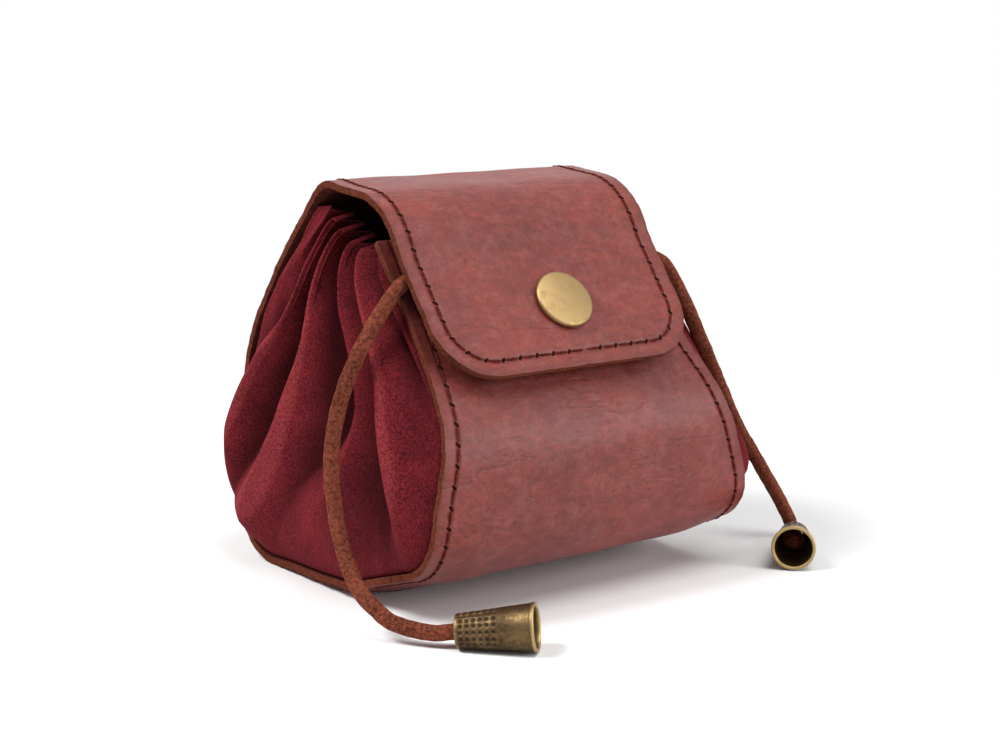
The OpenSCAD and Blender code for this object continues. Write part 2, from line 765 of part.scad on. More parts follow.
module right_seam_thread() {
    color(thread_colour)
        mirror([1, 0, 0])
        stitches(seam_path(-1), seam_start, hinge_margin + stitch_l);
}

// The flap's stitches run down one side, around both corners and up the other side
turn_r = flap_corner_r - stitch_inset;
half_flap_path = concat(
    [for (p = flap_belt(0)) over(p, stitch_inset - flap_width / 2)],
    [for (a = corner_turns) on_front(
        flap_corner_r - flap_width / 2 - turn_r * cos(a),
        flap_reach - flap_corner_r + turn_r * sin(a),
        flap_top + thread_height
    )]
);
flap_path = concat(
    half_flap_path,
    [for (i = [len(half_flap_path) - 1 : -1 : 0])
        [-half_flap_path[i][0], half_flap_path[i][1], half_flap_path[i][2]]]
);

module flap_thread() {
    color(thread_colour)
        translate([-flap_shift, 0, 0])
        stitches(flap_path, hinge_margin, hinge_margin + stitch_l);
}

body_panel();
flap_panel();
left_gusset();
right_gusset();
snap_cap();
snap_socket();
snap_spring();
snap_stud();
snap_post();
drawstring_run();
left_cord();
right_cord();
left_bell();
right_bell();
left_knot();
right_knot();
left_seam_thread();
right_seam_thread();
flap_thread();
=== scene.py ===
"""Dresses a small leather drawstring pouch with a snap flap, suede sides and bell cord ends.

Every piece is worked out in millimetres in the frame of the solids and put into its mesh in metres.
"""

import logging
from dataclasses import dataclass
from enum import Enum
from typing import Optional, Sequence, Union

import bpy
import numpy as np
from mathutils import Matrix


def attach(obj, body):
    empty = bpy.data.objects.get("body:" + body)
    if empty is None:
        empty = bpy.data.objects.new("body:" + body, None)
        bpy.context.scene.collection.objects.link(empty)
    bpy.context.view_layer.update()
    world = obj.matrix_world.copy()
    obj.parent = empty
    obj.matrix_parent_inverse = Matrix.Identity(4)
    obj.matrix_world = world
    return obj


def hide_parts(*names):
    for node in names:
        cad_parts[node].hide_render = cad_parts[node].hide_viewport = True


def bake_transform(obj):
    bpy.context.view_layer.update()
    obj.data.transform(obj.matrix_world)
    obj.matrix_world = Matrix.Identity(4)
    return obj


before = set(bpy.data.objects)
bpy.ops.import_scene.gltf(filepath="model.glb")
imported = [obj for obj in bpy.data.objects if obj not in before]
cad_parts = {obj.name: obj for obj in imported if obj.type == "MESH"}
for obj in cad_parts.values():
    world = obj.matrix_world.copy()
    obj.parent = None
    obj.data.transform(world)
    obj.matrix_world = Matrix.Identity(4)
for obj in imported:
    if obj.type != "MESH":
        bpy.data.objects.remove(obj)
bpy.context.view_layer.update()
LOG = logging.getLogger("pouch")
MM = 0.001
Array = np.ndarray
RIPPLES = ((2.1, 1.3, 1.0), (-1.7, 2.6, 1.0), (3.9, 0.7, 1.0), (5.3, -4.1, 0.6), (1.1, 6.2, 0.6))
RIPPLE_SIZE = 3.2


class Body(Enum):
    """Bodies of the pouch that a piece can ride on."""

    POUCH = "pouch"
    FLAP = "flap"
    LEFT_BELL = "left_bell"
    RIGHT_BELL = "right_bell"


class Side(Enum):
    """Left or right hand of the pouch, as the sign of X."""

    LEFT = -1
    RIGHT = 1

    @property
    def label(self) -> str:
        """Returns the side's name as its pieces carry it."""
        return self.name.lower()


def ease(low: float, high: float, x: Array) -> Array:
    """Returns 0 below low, 1 above high and a smooth S-shaped rise between them."""
    t = np.clip((x - low) / (high - low), 0.0, 1.0)
    return t * t * (3.0 - 2.0 * t)


def unit(v: Array) -> Array:
    """Returns vectors of length 1 along the last axis."""
    return v / np.linalg.norm(v, axis=-1, keepdims=True)


def distances(points: Array) -> Array:
    """Returns the distance travelled along a list of points."""
    steps = np.linalg.norm(np.diff(points, axis=0), axis=1)
    return np.concatenate([[0.0], np.cumsum(steps)])


def hump(x: Array, centre: float, spread: float) -> Array:
    """Returns a bell-shaped rise to 1 at the centre."""
    return np.exp(-(((x - centre) / spread) ** 2))


def ripple(a: Array, b: Array, seed: int) -> Array:
    """Returns a smooth wandering value of about -1 to 1, a sum of sines in two lengths.

    Args:
        a: First length, in waves.
        b: Second length, in waves.
        seed: Chooses the phases.
    """
    phases = np.random.default_rng(seed).uniform(0.0, 2.0 * np.pi, len(RIPPLES))
    waves = [size * np.sin(p * a + q * b + phase) for (p, q, size), phase in zip(RIPPLES, phases)]
    return sum(waves) / RIPPLE_SIZE


def grid_faces(rows: int, columns: int, closed: bool = False) -> Array:
    """Returns the quads of a grid of points stored row by row.

    Args:
        rows: Number of rows.
        columns: Number of points in a row.
        closed: Joins the last column to the first.
    """
    r = np.arange(rows - 1)[:, None] * columns
    c = np.arange(columns if closed else columns - 1)[None, :]
    n = (c + 1) % columns
    quads = np.stack([r + c, r + n, r + columns + n, r + columns + c], -1)
    return quads.reshape(-1, 4)


def new_object(
    name: str,
    points: Array,
    faces: Sequence[Sequence[int]],
    materials: Sequence[bpy.types.Material],
    smooth: bool = True,
) -> bpy.types.Object:
    """Makes a mesh object at the origin from points in millimetres.

    Args:
        name: Name of the piece.
        points: Points of shape (n, 3).
        faces: Corner indices of each face.
        materials: Materials in slot order.
        smooth: Shades the faces smooth.

    Returns:
        The new object, linked into the scene.
    """
    mesh = bpy.data.meshes.new(name)
    listed = faces.tolist() if isinstance(faces, np.ndarray) else [list(f) for f in faces]
    mesh.from_pydata((points * MM).tolist(), [], listed)
    for material in materials:
        mesh.materials.append(material)
    mesh.polygons.foreach_set("use_smooth", [smooth] * len(mesh.polygons))
    mesh.update()
    obj = bpy.data.objects.new(name, mesh)
    bpy.context.scene.collection.objects.link(obj)
    return obj


def add_values(obj: bpy.types.Object, name: str, values: Array) -> None:
    """Stores one number for each point of a mesh under a name."""
    attribute = obj.data.attributes.new(name, "FLOAT", "POINT")
    attribute.data.foreach_set("value", np.ascontiguousarray(values, np.float32).ravel())


def freeze(obj: bpy.types.Object) -> bpy.types.Object:
    """Replaces an object's mesh by what its modifiers make of it, and returns the object."""
    graph = bpy.context.evaluated_depsgraph_get()
    mesh = bpy.data.meshes.new_from_object(
        obj.evaluated_get(graph), preserve_all_data_layers=True, depsgraph=graph
    )
    obj.modifiers.clear()
    obj.data = mesh
    return obj


def thicken(
    obj: bpy.types.Object, depth: float, bevel: float, inner: int, rim: int, square: Sequence[int] = ()
) -> bpy.types.Object:
    """Gives a sheet a thickness behind its face and rounds the edges of its rim.

    Args:
        obj: The sheet, whose points stay first in the thick mesh.
        depth: Thickness in millimetres.
        bevel: Radius of the rim's edges in millimetres.
        inner: Material slot of the back.
        rim: Material slot of the rim.
        square: Points of an end that stays square, because another sheet goes on from it.

    Returns:
        The same object with a plain mesh.
    """
    count = len(obj.data.vertices)
    uses = np.zeros(count, int)
    corners = np.empty(len(obj.data.loops), int)
    obj.data.loops.foreach_get("vertex_index", corners)
    np.add.at(uses, corners, 1)
    solid = obj.modifiers.new("thickness", "SOLIDIFY")
    solid.thickness = depth * MM
    solid.offset = -1.0
    solid.use_even_offset = False
    solid.material_offset = inner
    solid.material_offset_rim = rim
    mesh = freeze(obj).data
    border, plain = uses < 4, np.isin(np.arange(count), square)
    edges = np.empty(len(mesh.edges) * 2, int)
    mesh.edges.foreach_get("vertices", edges)
    edges = edges.reshape(-1, 2)
    shell = edges // count
    same = (shell[:, 0] == shell[:, 1]) & border[edges % count].all(axis=1)
    end = plain[edges % count].all(axis=1)
    weight = (same & ~end).astype(np.float32)
    mesh.attributes.new("bevel_weight_edge", "FLOAT", "EDGE").data.foreach_set("value", weight)
    mesh.edges.foreach_set("use_edge_sharp", (same & end).tolist())
    mesh.polygons.foreach_set("use_smooth", [True] * len(mesh.polygons))
    soft = obj.modifiers.new("rim", "BEVEL")
    soft.width = bevel * MM
    soft.segments = 2
    soft.limit_method = "WEIGHT"
    return freeze(obj)


def settle(
    obj: bpy.types.Object, body: Body, nodes: Sequence[str] = ()
) -> bpy.types.Object:
    """Makes a piece ride on a body and lets it stand for CAD nodes.

    Args:
        obj: The finished piece.
        body: Body that it rides on.
        nodes: CAD nodes that it replaces.

    Returns:
        The same object.
    """
    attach(obj, body.value)
    if nodes:
        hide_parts(*nodes)
    LOG.info("%s rides on %s", obj.name, body.value)
    return obj


def sweep(path: Array, normals: Array, ring: Array) -> tuple[Array, list]:
    """Carries closed rings along paths: point = path + ring's first value sideways + second upwards.

    Each end is closed with a face.

    Args:
        path: Points of shape (paths, steps, 3).
        normals: Upward directions of the same shape.
        ring: Ring coordinates of shape (steps, sides, 2) or (paths, steps, sides, 2).

    Returns:
        Points of shape (n, 3) and the faces.
    """
    along = unit(np.gradient(path, axis=1))
    across = unit(np.cross(along, normals))
    up = np.cross(across, along)
    points = (
        path[:, :, None]
        + ring[..., 0:1] * across[:, :, None]
        + ring[..., 1:2] * up[:, :, None]
    )
    count, steps, sides = points.shape[:3]
    one = grid_faces(steps, sides, closed=True)[:, ::-1]
    size = steps * sides
    quads = (np.arange(count)[:, None, None] * size + one[None]).reshape(-1, 4)
    starts = np.arange(count)[:, None] * size
    first = starts + np.arange(sides)[None, :]
    last = starts + size - 1 - np.arange(sides)[None, :]
    return points.reshape(-1, 3), quads.tolist() + first.tolist() + last.tolist()


def lathe(profile: Array, sides: int) -> tuple[Array, Array, Array, Array]:
    """Turns a closed or open profile of (radius, height) around Z.

    Args:
        profile: Points of shape (n, 2).
        sides: Number of steps around.

    Returns:
        Points of shape (n, sides, 3), the angle and height of each point, and the quads.
    """
    angle = np.linspace(0.0, 2.0 * np.pi, sides, endpoint=False)
    a, r = np.meshgrid(angle, profile[:, 0])
    z = np.repeat(profile[:, 1:2], sides, axis=1)
    points = np.stack([r * np.cos(a), r * np.sin(a), z], -1)
    return points, a, z, grid_faces(len(profile), sides, closed=True)


def rounded(profile: Sequence[tuple[float, float]], radius: float, steps: int = 5) -> Array:
    """Rounds the inner corners of a line of points with arcs drawn as quadratic curves.

    Args:
        profile: Corners of shape (n, 2).
        radius: Longest cut along each edge.
        steps: Points in each arc.

    Returns:
        The line with its corners rounded.
    """
    p = np.array(profile, float)
    before, corner, after = p[:-2], p[1:-1], p[2:]
    cut_in = np.minimum(radius, 0.45 * np.linalg.norm(before - corner, axis=1))[:, None]
    cut_out = np.minimum(radius, 0.45 * np.linalg.norm(after - corner, axis=1))[:, None]
    a = corner + unit(before - corner) * cut_in
    b = corner + unit(after - corner) * cut_out
    t = np.linspace(0.0, 1.0, steps)[None, :, None]
    arcs = (1 - t) ** 2 * a[:, None] + 2 * t * (1 - t) * corner[:, None] + t**2 * b[:, None]
    return np.concatenate([p[:1], arcs.reshape(-1, 2), p[-1:]])


def extended(p: Array) -> Array:
    """Returns values with one more at each end, mirrored in the end value."""
    return np.concatenate([2 * p[:1] - p[1:2], p, 2 * p[-1:] - p[-2:-1]])


def spline(a: Array, b: Array, c: Array, d: Array, t: Array) -> Array:
    """Returns the Catmull-Rom spline of four values in a row, at shares t of the way from b to c."""
    cubic = (3 * b - a - 3 * c + d) * t**3
    return 0.5 * (2 * b + (c - a) * t + (2 * a - 5 * b + 4 * c - d) * t**2 + cubic)


def smooth_path(points: Sequence[Sequence[float]], step: float) -> Array:
    """Runs an even smooth line through points, a spline sampled at equal steps.

    Args:
        points: The route's points in millimetres.
        step: Distance between the samples.

    Returns:
        Samples of shape (n, 3).
    """
    p = extended(np.array(points, float))
    t = np.linspace(0.0, 1.0, 12, endpoint=False)[None, :, None]
    curve = spline(*(p[i : len(p) - 3 + i][:, None] for i in range(4)), t)
    line = np.concatenate([curve.reshape(-1, 3), p[-2:-1]])
    run = distances(line)
    even = np.linspace(0.0, run[-1], int(run[-1] / step) + 1)
    return np.stack([np.interp(even, run, line[:, k]) for k in range(3)], 1)


def through(knots: Sequence[float], v: Array) -> Array:
    """Returns a smooth curve through evenly spaced values, a spline from 0 to 1."""
    k = extended(np.array(knots, float))
    place = np.clip(v, 0.0, 1.0) * (len(knots) - 1)
    i = np.minimum(place.astype(int), len(knots) - 2)
    return spline(*(k[i + j] for j in range(4)), place - i)


Value = Union[float, "Link"]


class Link:
    """Output socket of a shader node, with arithmetic that adds Math nodes."""

    def __init__(self, nodes: "Nodes", socket: bpy.types.NodeSocket) -> None:
        """Wraps a socket of a node tree."""
        self.nodes = nodes
        self.socket = socket

    def maths(self, operation: str, *values: Value) -> "Link":
        """Returns the result of a Math node on values."""
        return self.nodes.node("ShaderNodeMath", {"operation": operation}, dict(enumerate(values)))

    def __add__(self, other: Value) -> "Link":
        """Adds."""
        return self.maths("ADD", self, other)

    def __sub__(self, other: Value) -> "Link":
        """Subtracts."""
        return self.maths("SUBTRACT", self, other)

    def __rsub__(self, other: Value) -> "Link":
        """Subtracts from the left."""
        return self.maths("SUBTRACT", other, self)

    def __mul__(self, other: Value) -> "Link":
        """Multiplies."""
        return self.maths("MULTIPLY", self, other)

    def __abs__(self) -> "Link":
        """Returns the size without the sign."""
        return self.maths("ABSOLUTE", self)

    def most(self, other: Value) -> "Link":
        """Returns the larger of two values."""
        return self.maths("MAXIMUM", self, other)

    def rise(self, low: float, high: float) -> "Link":
        """Returns 0 at low and 1 at high, with a smooth rise between them."""
        sockets = {"Value": self, "From Min": low, "From Max": high}
        return self.nodes.node("ShaderNodeMapRange", {"interpolation_type": "SMOOTHSTEP"}, sockets)


def srgb(red: int, green: int, blue: int) -> tuple[float, float, float, float]:
    """Returns a screen colour of 0 to 255 as the linear colour that shaders take."""
    c = np.array([red, green, blue]) / 255.0
    linear = np.where(c <= 0.04045, c / 12.92, ((c + 0.055) / 1.055) ** 2.4)
    return (*linear.tolist(), 1.0)


class Nodes:
    """Node tree that is built node by node."""

    def __init__(self, tree: bpy.types.NodeTree) -> None:
        """Wraps a tree."""
        self.tree = tree

    def node(
        self, kind: str, settings: dict, sockets: dict, output: Union[int, str] = 0
    ) -> Link:
        """Adds a node.

        Args:
            kind: Node type.
            settings: Properties that are set first.
            sockets: Values or links by the socket's name or number.
            output: Name or number of the output that is returned.

        Returns:
            The chosen output.
        """
        node = self.tree.nodes.new(kind)
        for key, value in settings.items():
            setattr(node, key, value)
        for key, value in sockets.items():
            self.put(node.inputs[key], value)
        return Link(self, node.outputs[output])

    def put(self, socket: bpy.types.NodeSocket, value: Union[Value, tuple]) -> None:
        """Links or sets one socket."""
        if isinstance(value, Link):
            self.tree.links.new(value.socket, socket)
        else:
            socket.default_value = value


class Shader(Nodes):
    """Material with one Principled shader."""

    def __init__(self, name: str) -> None:
        """Starts a material of that name."""
        self.material = bpy.data.materials.new(name)
        self.material.use_nodes = True
        super().__init__(self.material.node_tree)
        self.surface = self.tree.nodes["Principled BSDF"]

    def coordinates(self) -> Link:
        """Returns Object coordinates."""
        return self.node("ShaderNodeTexCoord", {}, {}, "Object")

    def stored(self, name: str) -> Link:
        """Returns a number that is stored on the mesh."""
        return self.node("ShaderNodeAttribute", {"attribute_name": name}, {}, "Fac")

    def noise(
        self, scale: float, detail: float = 3.0, rough: float = 0.5, place: Optional[Link] = None
    ) -> Link:
        """Returns a noise of 0 to 1 on Object coordinates or on another vector."""
        sockets = {"Scale": scale, "Detail": detail, "Roughness": rough}
        sockets["Vector"] = place or self.coordinates()
        return self.node("ShaderNodeTexNoise", {}, sockets)

    def stretched(self, x: float, y: float, z: float) -> Link:
        """Returns Object coordinates multiplied along each axis."""
        sockets = {"Vector": self.coordinates(), "Scale": (x, y, z)}
        return self.node("ShaderNodeMapping", {}, sockets)

    def mix(self, factor: Value, first: Union[Link, tuple], second: Union[Link, tuple]) -> Link:
        """Mixes two colours, whose sockets are the seventh and eighth of a Mix node."""
        sockets = {0: factor, 6: first, 7: second}
        return self.node("ShaderNodeMix", {"data_type": "RGBA"}, sockets, 2)

    def bump(self, height: Link, strength: float, distance: float) -> None:
        """Feeds the normal from a height."""
        sockets = {"Height": height, "Strength": strength, "Distance": distance * MM}
        self.set(Normal=self.node("ShaderNodeBump", {}, sockets))

    def set(self, **values: Union[Value, tuple]) -> None:
        """Sets or links the Principled shader's sockets by name, with _ for a space."""
        for key, value in values.items():
            self.put(self.surface.inputs[key.replace("_", " ")], value)


@dataclass(frozen=True)
class Leather:
    """Waxed leather: mottled brown, lighter mauve patches that are partly the wax's own pale cast and
    partly painted sheen, orange streaks, painted shade in fine creases and a groove under the stitches
    that is painted darker as shade.
    """

    dark: tuple = srgb(82, 31, 28)
    body: tuple = srgb(123, 52, 45)
    # Lighter mauve: partly the wax's own pale cast, partly painted sheen.
    bloom_and_sheen: tuple = srgb(142, 87, 84)
    scuff: tuple = srgb(160, 68, 47)

    def make(self) -> bpy.types.Material:
        """Returns the grain side's material."""
        s = Shader("waxed_leather")
        cloud = s.noise(30.0, 6.0, 0.65)
        patch = s.noise(70.0, 5.0, 0.7)
        fine = s.noise(900.0, 4.0, 0.75)
        grain = s.noise(260.0, 5.0, 0.7)
        streak = s.noise(620.0, 4.0, 0.7, s.stretched(0.45, 1.0, 1.0))
        colour = s.mix(cloud.rise(0.25, 0.75) * 0.7 + 0.25, self.dark, self.body)
        # Lighter mauve patches by grain noise: partly the wax's own pale cast, partly painted sheen.
        colour = s.mix(grain.rise(0.4, 0.8) * 0.45, colour, self.bloom_and_sheen)
        colour = s.mix(patch.rise(0.46, 0.75) * fine.rise(0.42, 0.62) * 0.28, colour, self.scuff)
        colour = s.mix(streak.rise(0.5, 0.7) * 0.26, colour, self.scuff)
        colour = s.mix(streak.rise(0.48, 0.28) * 0.45, colour, self.dark)
        lines = s.noise(75.0, 5.0, 0.6, s.stretched(0.3, 1.0, 1.0))
        crease = abs(lines - 0.5).rise(0.03, 0.0) * cloud.rise(0.44, 0.6)
        # Painted shade: the crease lines are mixed towards dark; the fine noise darkens at random.
        colour = s.mix(fine.rise(0.5, 0.3) * 0.7 + crease * 0.35, colour, self.dark)
        rim = s.stored("edge").rise(1.6, 0.2)
        colour = s.mix(rim * 0.35, colour, self.dark)
        groove = abs(s.stored("edge") - s.stored("inset")).rise(1.0, 0.1)
        # Painted shade: the stitch groove is mixed darker as well as sunk in the bump.
        colour = s.mix(groove * 0.4, colour, self.dark)
        s.bump(fine * 0.45 + grain * 0.5 + streak * 0.25 - groove - crease * 0.3, 0.65, 0.35)
        s.set(Base_Color=colour, Roughness=cloud * 0.14 + fine * 0.14 + 0.28)
        s.set(Specular_IOR_Level=0.28)
        return s.material


@dataclass(frozen=True)
class Nap:
    """Matte fibrous leather: flesh side, cut edge, cord or suede."""

    name: str
    dark: tuple
    light: tuple
    grain: float = 700.0
    sheen: float = 0.3
    ridge: bool = False
    # Lighter colour of the ridge tops: partly rubbing of the nap, partly painted highlight.
    rub_and_highlight: tuple = srgb(172, 74, 78)

    def make(self) -> bpy.types.Material:
        """Returns the material: two noises mix dark and light; with ridge, the valleys get painted shade
        and the ridge tops are lighter, partly rubbing and partly painted highlight.
        """
        s = Shader(self.name)
        fibre = s.noise(self.grain, 3.0, 0.75)
        cloud = s.noise(self.grain * 0.06, 4.0, 0.6)
        tone = fibre.rise(0.28, 0.72) * 0.7 + cloud.rise(0.22, 0.78) * 0.3
        if self.ridge:
            # Painted shade: the tone darkens towards the fold valleys, by the stored ridge value.
            tone = tone * (s.stored("ridge") * 0.85 + 0.15)
        colour = s.mix(tone, self.dark, self.light)
        if self.ridge:
            # Ridge tops are mixed lighter: partly rubbing, partly painted highlight.
            rub_and_highlight = s.stored("ridge").rise(0.9, 1.0) * fibre.rise(0.2, 0.7)
            colour = s.mix(rub_and_highlight * 0.38, colour, self.rub_and_highlight)
        s.set(Base_Color=colour, Roughness=0.92)
        s.set(Sheen_Weight=self.sheen, Sheen_Roughness=0.45, Sheen_Tint=self.light)
        s.set(Specular_IOR_Level=0.06)
        s.bump(fibre * 0.5 + cloud * 0.5, 0.7, 0.5)
        return s.material


@dataclass(frozen=True)
class AgedBrass:
    """Brass with a brown patina that is worn bright in places."""

    name: str
    bright: tuple
    patina: tuple
    share: float
    rough: float
    rim: tuple = srgb(160, 137, 92)
    deep: tuple = srgb(50, 39, 30)

    def make(self) -> bpy.types.Material:
        """Returns the material: noise mixes the bright metal and the patina."""
        s = Shader(self.name)
        cloud = s.noise(260.0, 5.0, 0.7)
        fine = s.noise(1500.0, 3.0, 0.6)
        worn = s.stored("worn")
        mask = (cloud * 0.7 + fine * 0.3).rise(self.share - 0.14, self.share + 0.14) * (1 - worn)
        colour = s.mix(mask, s.mix(worn, self.bright, self.rim), self.patina)
        s.set(Base_Color=s.mix(s.stored("dent") * 0.85, colour, self.deep), Metallic=1.0)
        s.set(Roughness=mask * 0.2 + self.rough)
        s.bump(fine * 0.4 + cloud, 0.15, 0.1)
        return s.material


@dataclass(frozen=True)
class Thread:
    """Waxed thread, or the dark slit that it goes into, painted as the shade inside the stitch hole."""

    name: str
    dark: tuple
    light: tuple

    def make(self) -> bpy.types.Material:
        """Returns the material."""
        s = Shader(self.name)
        s.set(Base_Color=s.mix(s.noise(1800.0).rise(0.3, 0.7), self.dark, self.light), Roughness=0.8)
        s.set(Specular_IOR_Level=0.02)
        return s.material


class Finishes:
    """All materials of the pouch."""

    def __init__(self) -> None:
        """Makes each material once."""
        self.leather = Leather().make()
        self.edge = Nap("cut_edge", srgb(52, 23, 17), srgb(118, 60, 43), 1400.0, 0.1).make()
        self.flesh = Nap("flesh_side", srgb(58, 26, 22), srgb(104, 54, 44), 600.0, 0.3).make()
        # With ridge set, the suede gets painted shade in its fold valleys and lighter ridge tops, partly
        # rubbing and partly painted highlight.
        self.suede = Nap("suede", srgb(32, 4, 8), srgb(138, 43, 50), 1900.0, 0.4, True).make()
        self.cord = Nap("cord_leather", srgb(46, 19, 14), srgb(140, 74, 55), 1300.0, 0.15).make()
        self.cap = AgedBrass("cap_brass", srgb(152, 128, 88), srgb(136, 112, 74), 0.56, 0.42).make()
        self.bell = AgedBrass("bell_brass", srgb(102, 82, 56), srgb(68, 53, 38), 0.5, 0.4).make()
        self.thread = Thread("waxed_thread", srgb(60, 22, 17), srgb(100, 43, 34)).make()
        # Dark slits painted as the shade inside the stitch holes.
        self.slit = Thread("stitch_hole_shade", srgb(28, 10, 8), srgb(48, 18, 14)).make()


class Belt:
    """Outer profile of the leather, a belt over discs (y, z, radius) in the Y-Z plane."""

    def __init__(self, discs: Sequence[tuple[float, float, float]], first: float, last: float) -> None:
        """Works out the belt.

        Args:
            discs: Discs in order. A radius of 0 is a point, below 0 the belt runs outside.
            first: Direction that the belt faces at its start, in degrees.
            last: Direction that it faces at its end.
        """
        turns = [self.facing(a, b) for a, b in zip(discs, discs[1:])]
        parts = []
        for (y, z, r), a, b in zip(discs, [first, *turns], [*turns, last]):
            turn = (b - a + 0.01) % 360.0 - 0.01 if r >= 0 else 0.01 - (a - b + 0.01) % 360.0
            angle = np.radians(a + turn * np.linspace(0.0, 1.0, max(2, int(abs(turn)))))
            parts.append(np.stack([y + r * np.cos(angle), z + r * np.sin(angle), angle], 1))
        line = np.concatenate(parts)
        line[:, 2] = np.unwrap(line[:, 2])
        run = distances(line[:, :2])
        keep = np.concatenate([[True], np.diff(run) > 1e-6])
        self.line, self.run = line[keep], run[keep]
        self.length = float(run[-1])

    @staticmethod
    def facing(a: tuple[float, float, float], b: tuple[float, float, float]) -> float:
        """Returns the direction that the straight run from disc a to disc b faces, in degrees."""
        d = np.array(b[:2]) - np.array(a[:2])
        share = np.clip((a[2] - b[2]) / np.linalg.norm(d), -1.0, 1.0)
        return float(np.degrees(np.arctan2(d[1], d[0]) - np.arccos(share)))

    def at(self, s: Array) -> tuple[Array, Array, Array]:
        """Returns y, z and the facing angle at distances along the belt."""
        return tuple(np.interp(s, self.run, self.line[:, k]) for k in range(3))


@dataclass
class Strip:
    """Leather strip: front, base, back and, past the fold, the flap."""

    thickness: float = 1.7
    height: float = 98.0
    base_width: float = 94.0
    mouth_width: float = 75.0
    wide_z: float = 15.0
    narrow_z: float = 68.0
    mouth_y: float = -14.0
    mouth_z: float = 86.0
    chest: tuple = (-22.5, 36.0, 24.5)
    toe: tuple = (-29.0, 26.0, 18.0)
    base_front: tuple = (-9.0, 6.0, 6.0)
    heel: tuple = (27.0, 20.0, 20.0)
    back: tuple = (21.0, 48.0, 26.0)
    fold: tuple = (9.0, 85.5, 12.5)
    brow_r: float = 21.0
    brow_drop: float = 1.0
    brow_overhang: float = 1.0
    saddle_r: float = 14.0
    flap_width: float = 73.0
    flap_shift: float = 2.0
    flap_corner: float = 14.0
    flap_reach: float = 41.0
    flap_gap: float = 4.2
    hinge_angle: float = 50.0
    split_back: float = 12.0
    snap_station: float = 24.0
    seam_inset: float = 3.4
    flap_inset: float = 3.9
    pitch: float = 4.7
    stitch: float = 4.4
    seam_start: float = 20.0
    base_lean: float = 2.2
    mouth_lean: float = 1.3
    lean_low: tuple = (48.0, 12.0)
    lean_high: tuple = (40.0, 65.0)
    fold_lean: float = 1.9
    fold_spread: float = 13.0
    flap_before: float = 14.0
    flap_after: float = 4.0
    base_s: float = 108.0
    base_spread: float = 34.0
    base_curl: float = 2.6
    curl_share: tuple = (0.62, 1.05)
    front_s: float = 55.0
    front_spread: float = 26.0
    front_swell: float = 0.5
    wave: float = 0.28
    wave_length: tuple = (22.0, 20.0)
    rough_cut: float = 0.16
    cut_wave: float = 2.4
    edge_round: float = 0.3
    fold_reach: float = 8.0
    fold_bend: tuple = (-7.0, 6.0)
    lift: float = 0.05

    def __post_init__(self) -> None:
        """Works out the profile and the places that other pieces need."""
        mouth = (self.mouth_y, self.mouth_z, 0.0)
        self.flank = Belt.facing(mouth, self.chest)
        a = np.radians(self.flank)
        self.out = np.array([np.cos(a), np.sin(a)])
        self.down = np.array([-np.sin(a), np.cos(a)])
        top = self.flap_gap + self.thickness
        brow_z = self.height - self.brow_drop - self.brow_r
        rise = top + self.brow_overhang - self.brow_r
        brow_y = self.mouth_y + (rise - (brow_z - self.mouth_z) * self.out[1]) / self.out[0]
        station = np.array([brow_y - self.mouth_y, brow_z - self.mouth_z]) @ self.down
        reach = self.brow_r + self.saddle_r
        station += np.sqrt(reach**2 - (reach - self.brow_overhang) ** 2)
        saddle = self.on_flank(station, top + self.saddle_r)
        tip = self.on_flank(self.flap_reach, top)
        discs = [mouth, self.chest, self.toe, self.base_front, self.heel, self.back, self.fold]
        discs += [(brow_y, brow_z, self.brow_r), (*saddle, -self.saddle_r), (*tip, 0.0)]
        self.belt = Belt(discs, self.flank, self.flank)
        turned = self.belt.line[:, 2] - np.radians(self.hinge_angle)
        on_fold = np.abs(turned - 2 * np.pi * np.round(turned / (2 * np.pi)))
        late = self.belt.run > 0.5 * self.belt.length
        self.hinge_s = float(self.belt.run[np.argmin(np.where(late, on_fold, 9.0))])
        self.split_s = self.hinge_s - self.split_back
        self.end_s = self.belt.length
        self.snap_s = self.end_s - (self.flap_reach - self.snap_station)
        middle = self.end_s - self.flap_corner
        self.middle_run = middle + (self.flap_corner - self.flap_inset) * np.pi / 2
        self.middle_run += self.flap_width / 2 - self.flap_corner

    def on_flank(self, station: float, rise: float) -> Array:
        """Returns (y, z) on the front panel, below its top edge and above its face."""
        return np.array([self.mouth_y, self.mouth_z]) + station * self.down + rise * self.out

    def on_front(self, x: float, station: float, rise: float) -> Array:
        """Returns a point over the front panel."""
        return np.array([x, *self.on_flank(station, rise)])

    def flap_share(self, s: Array) -> Array:
        """Returns 0 on the body and 1 on the flap, with a smooth change over the fold."""
        return ease(self.split_s - self.flap_before, self.hinge_s + self.flap_after, s)

    def half(self, s: Array) -> Array:
        """Returns half the strip's width: a cosine from base to mouth, then the flap's width."""
        z = self.belt.at(s)[1]
        t = np.clip((z - self.wide_z) / (self.narrow_z - self.wide_z), 0.0, 1.0)
        body = self.mouth_width / 2
        body = body + (self.base_width - self.mouth_width) / 4 * (1 + np.cos(np.pi * t))
        flap = self.flap_share(s)
        return body * (1 - flap) + self.flap_width / 2 * flap

    def lean(self, s: Array) -> Array:
        """Returns the strip's shift to the right: right at the base, left at the mouth and on the flap."""
        z = self.belt.at(s)[1]
        body = self.base_lean * ease(*self.lean_low, z) - self.mouth_lean * ease(*self.lean_high, z)
        flap = self.flap_share(s)
        fold = self.fold_lean * hump(s, self.hinge_s, self.fold_spread)
        return body * (1 - flap) - self.flap_shift * flap + fold

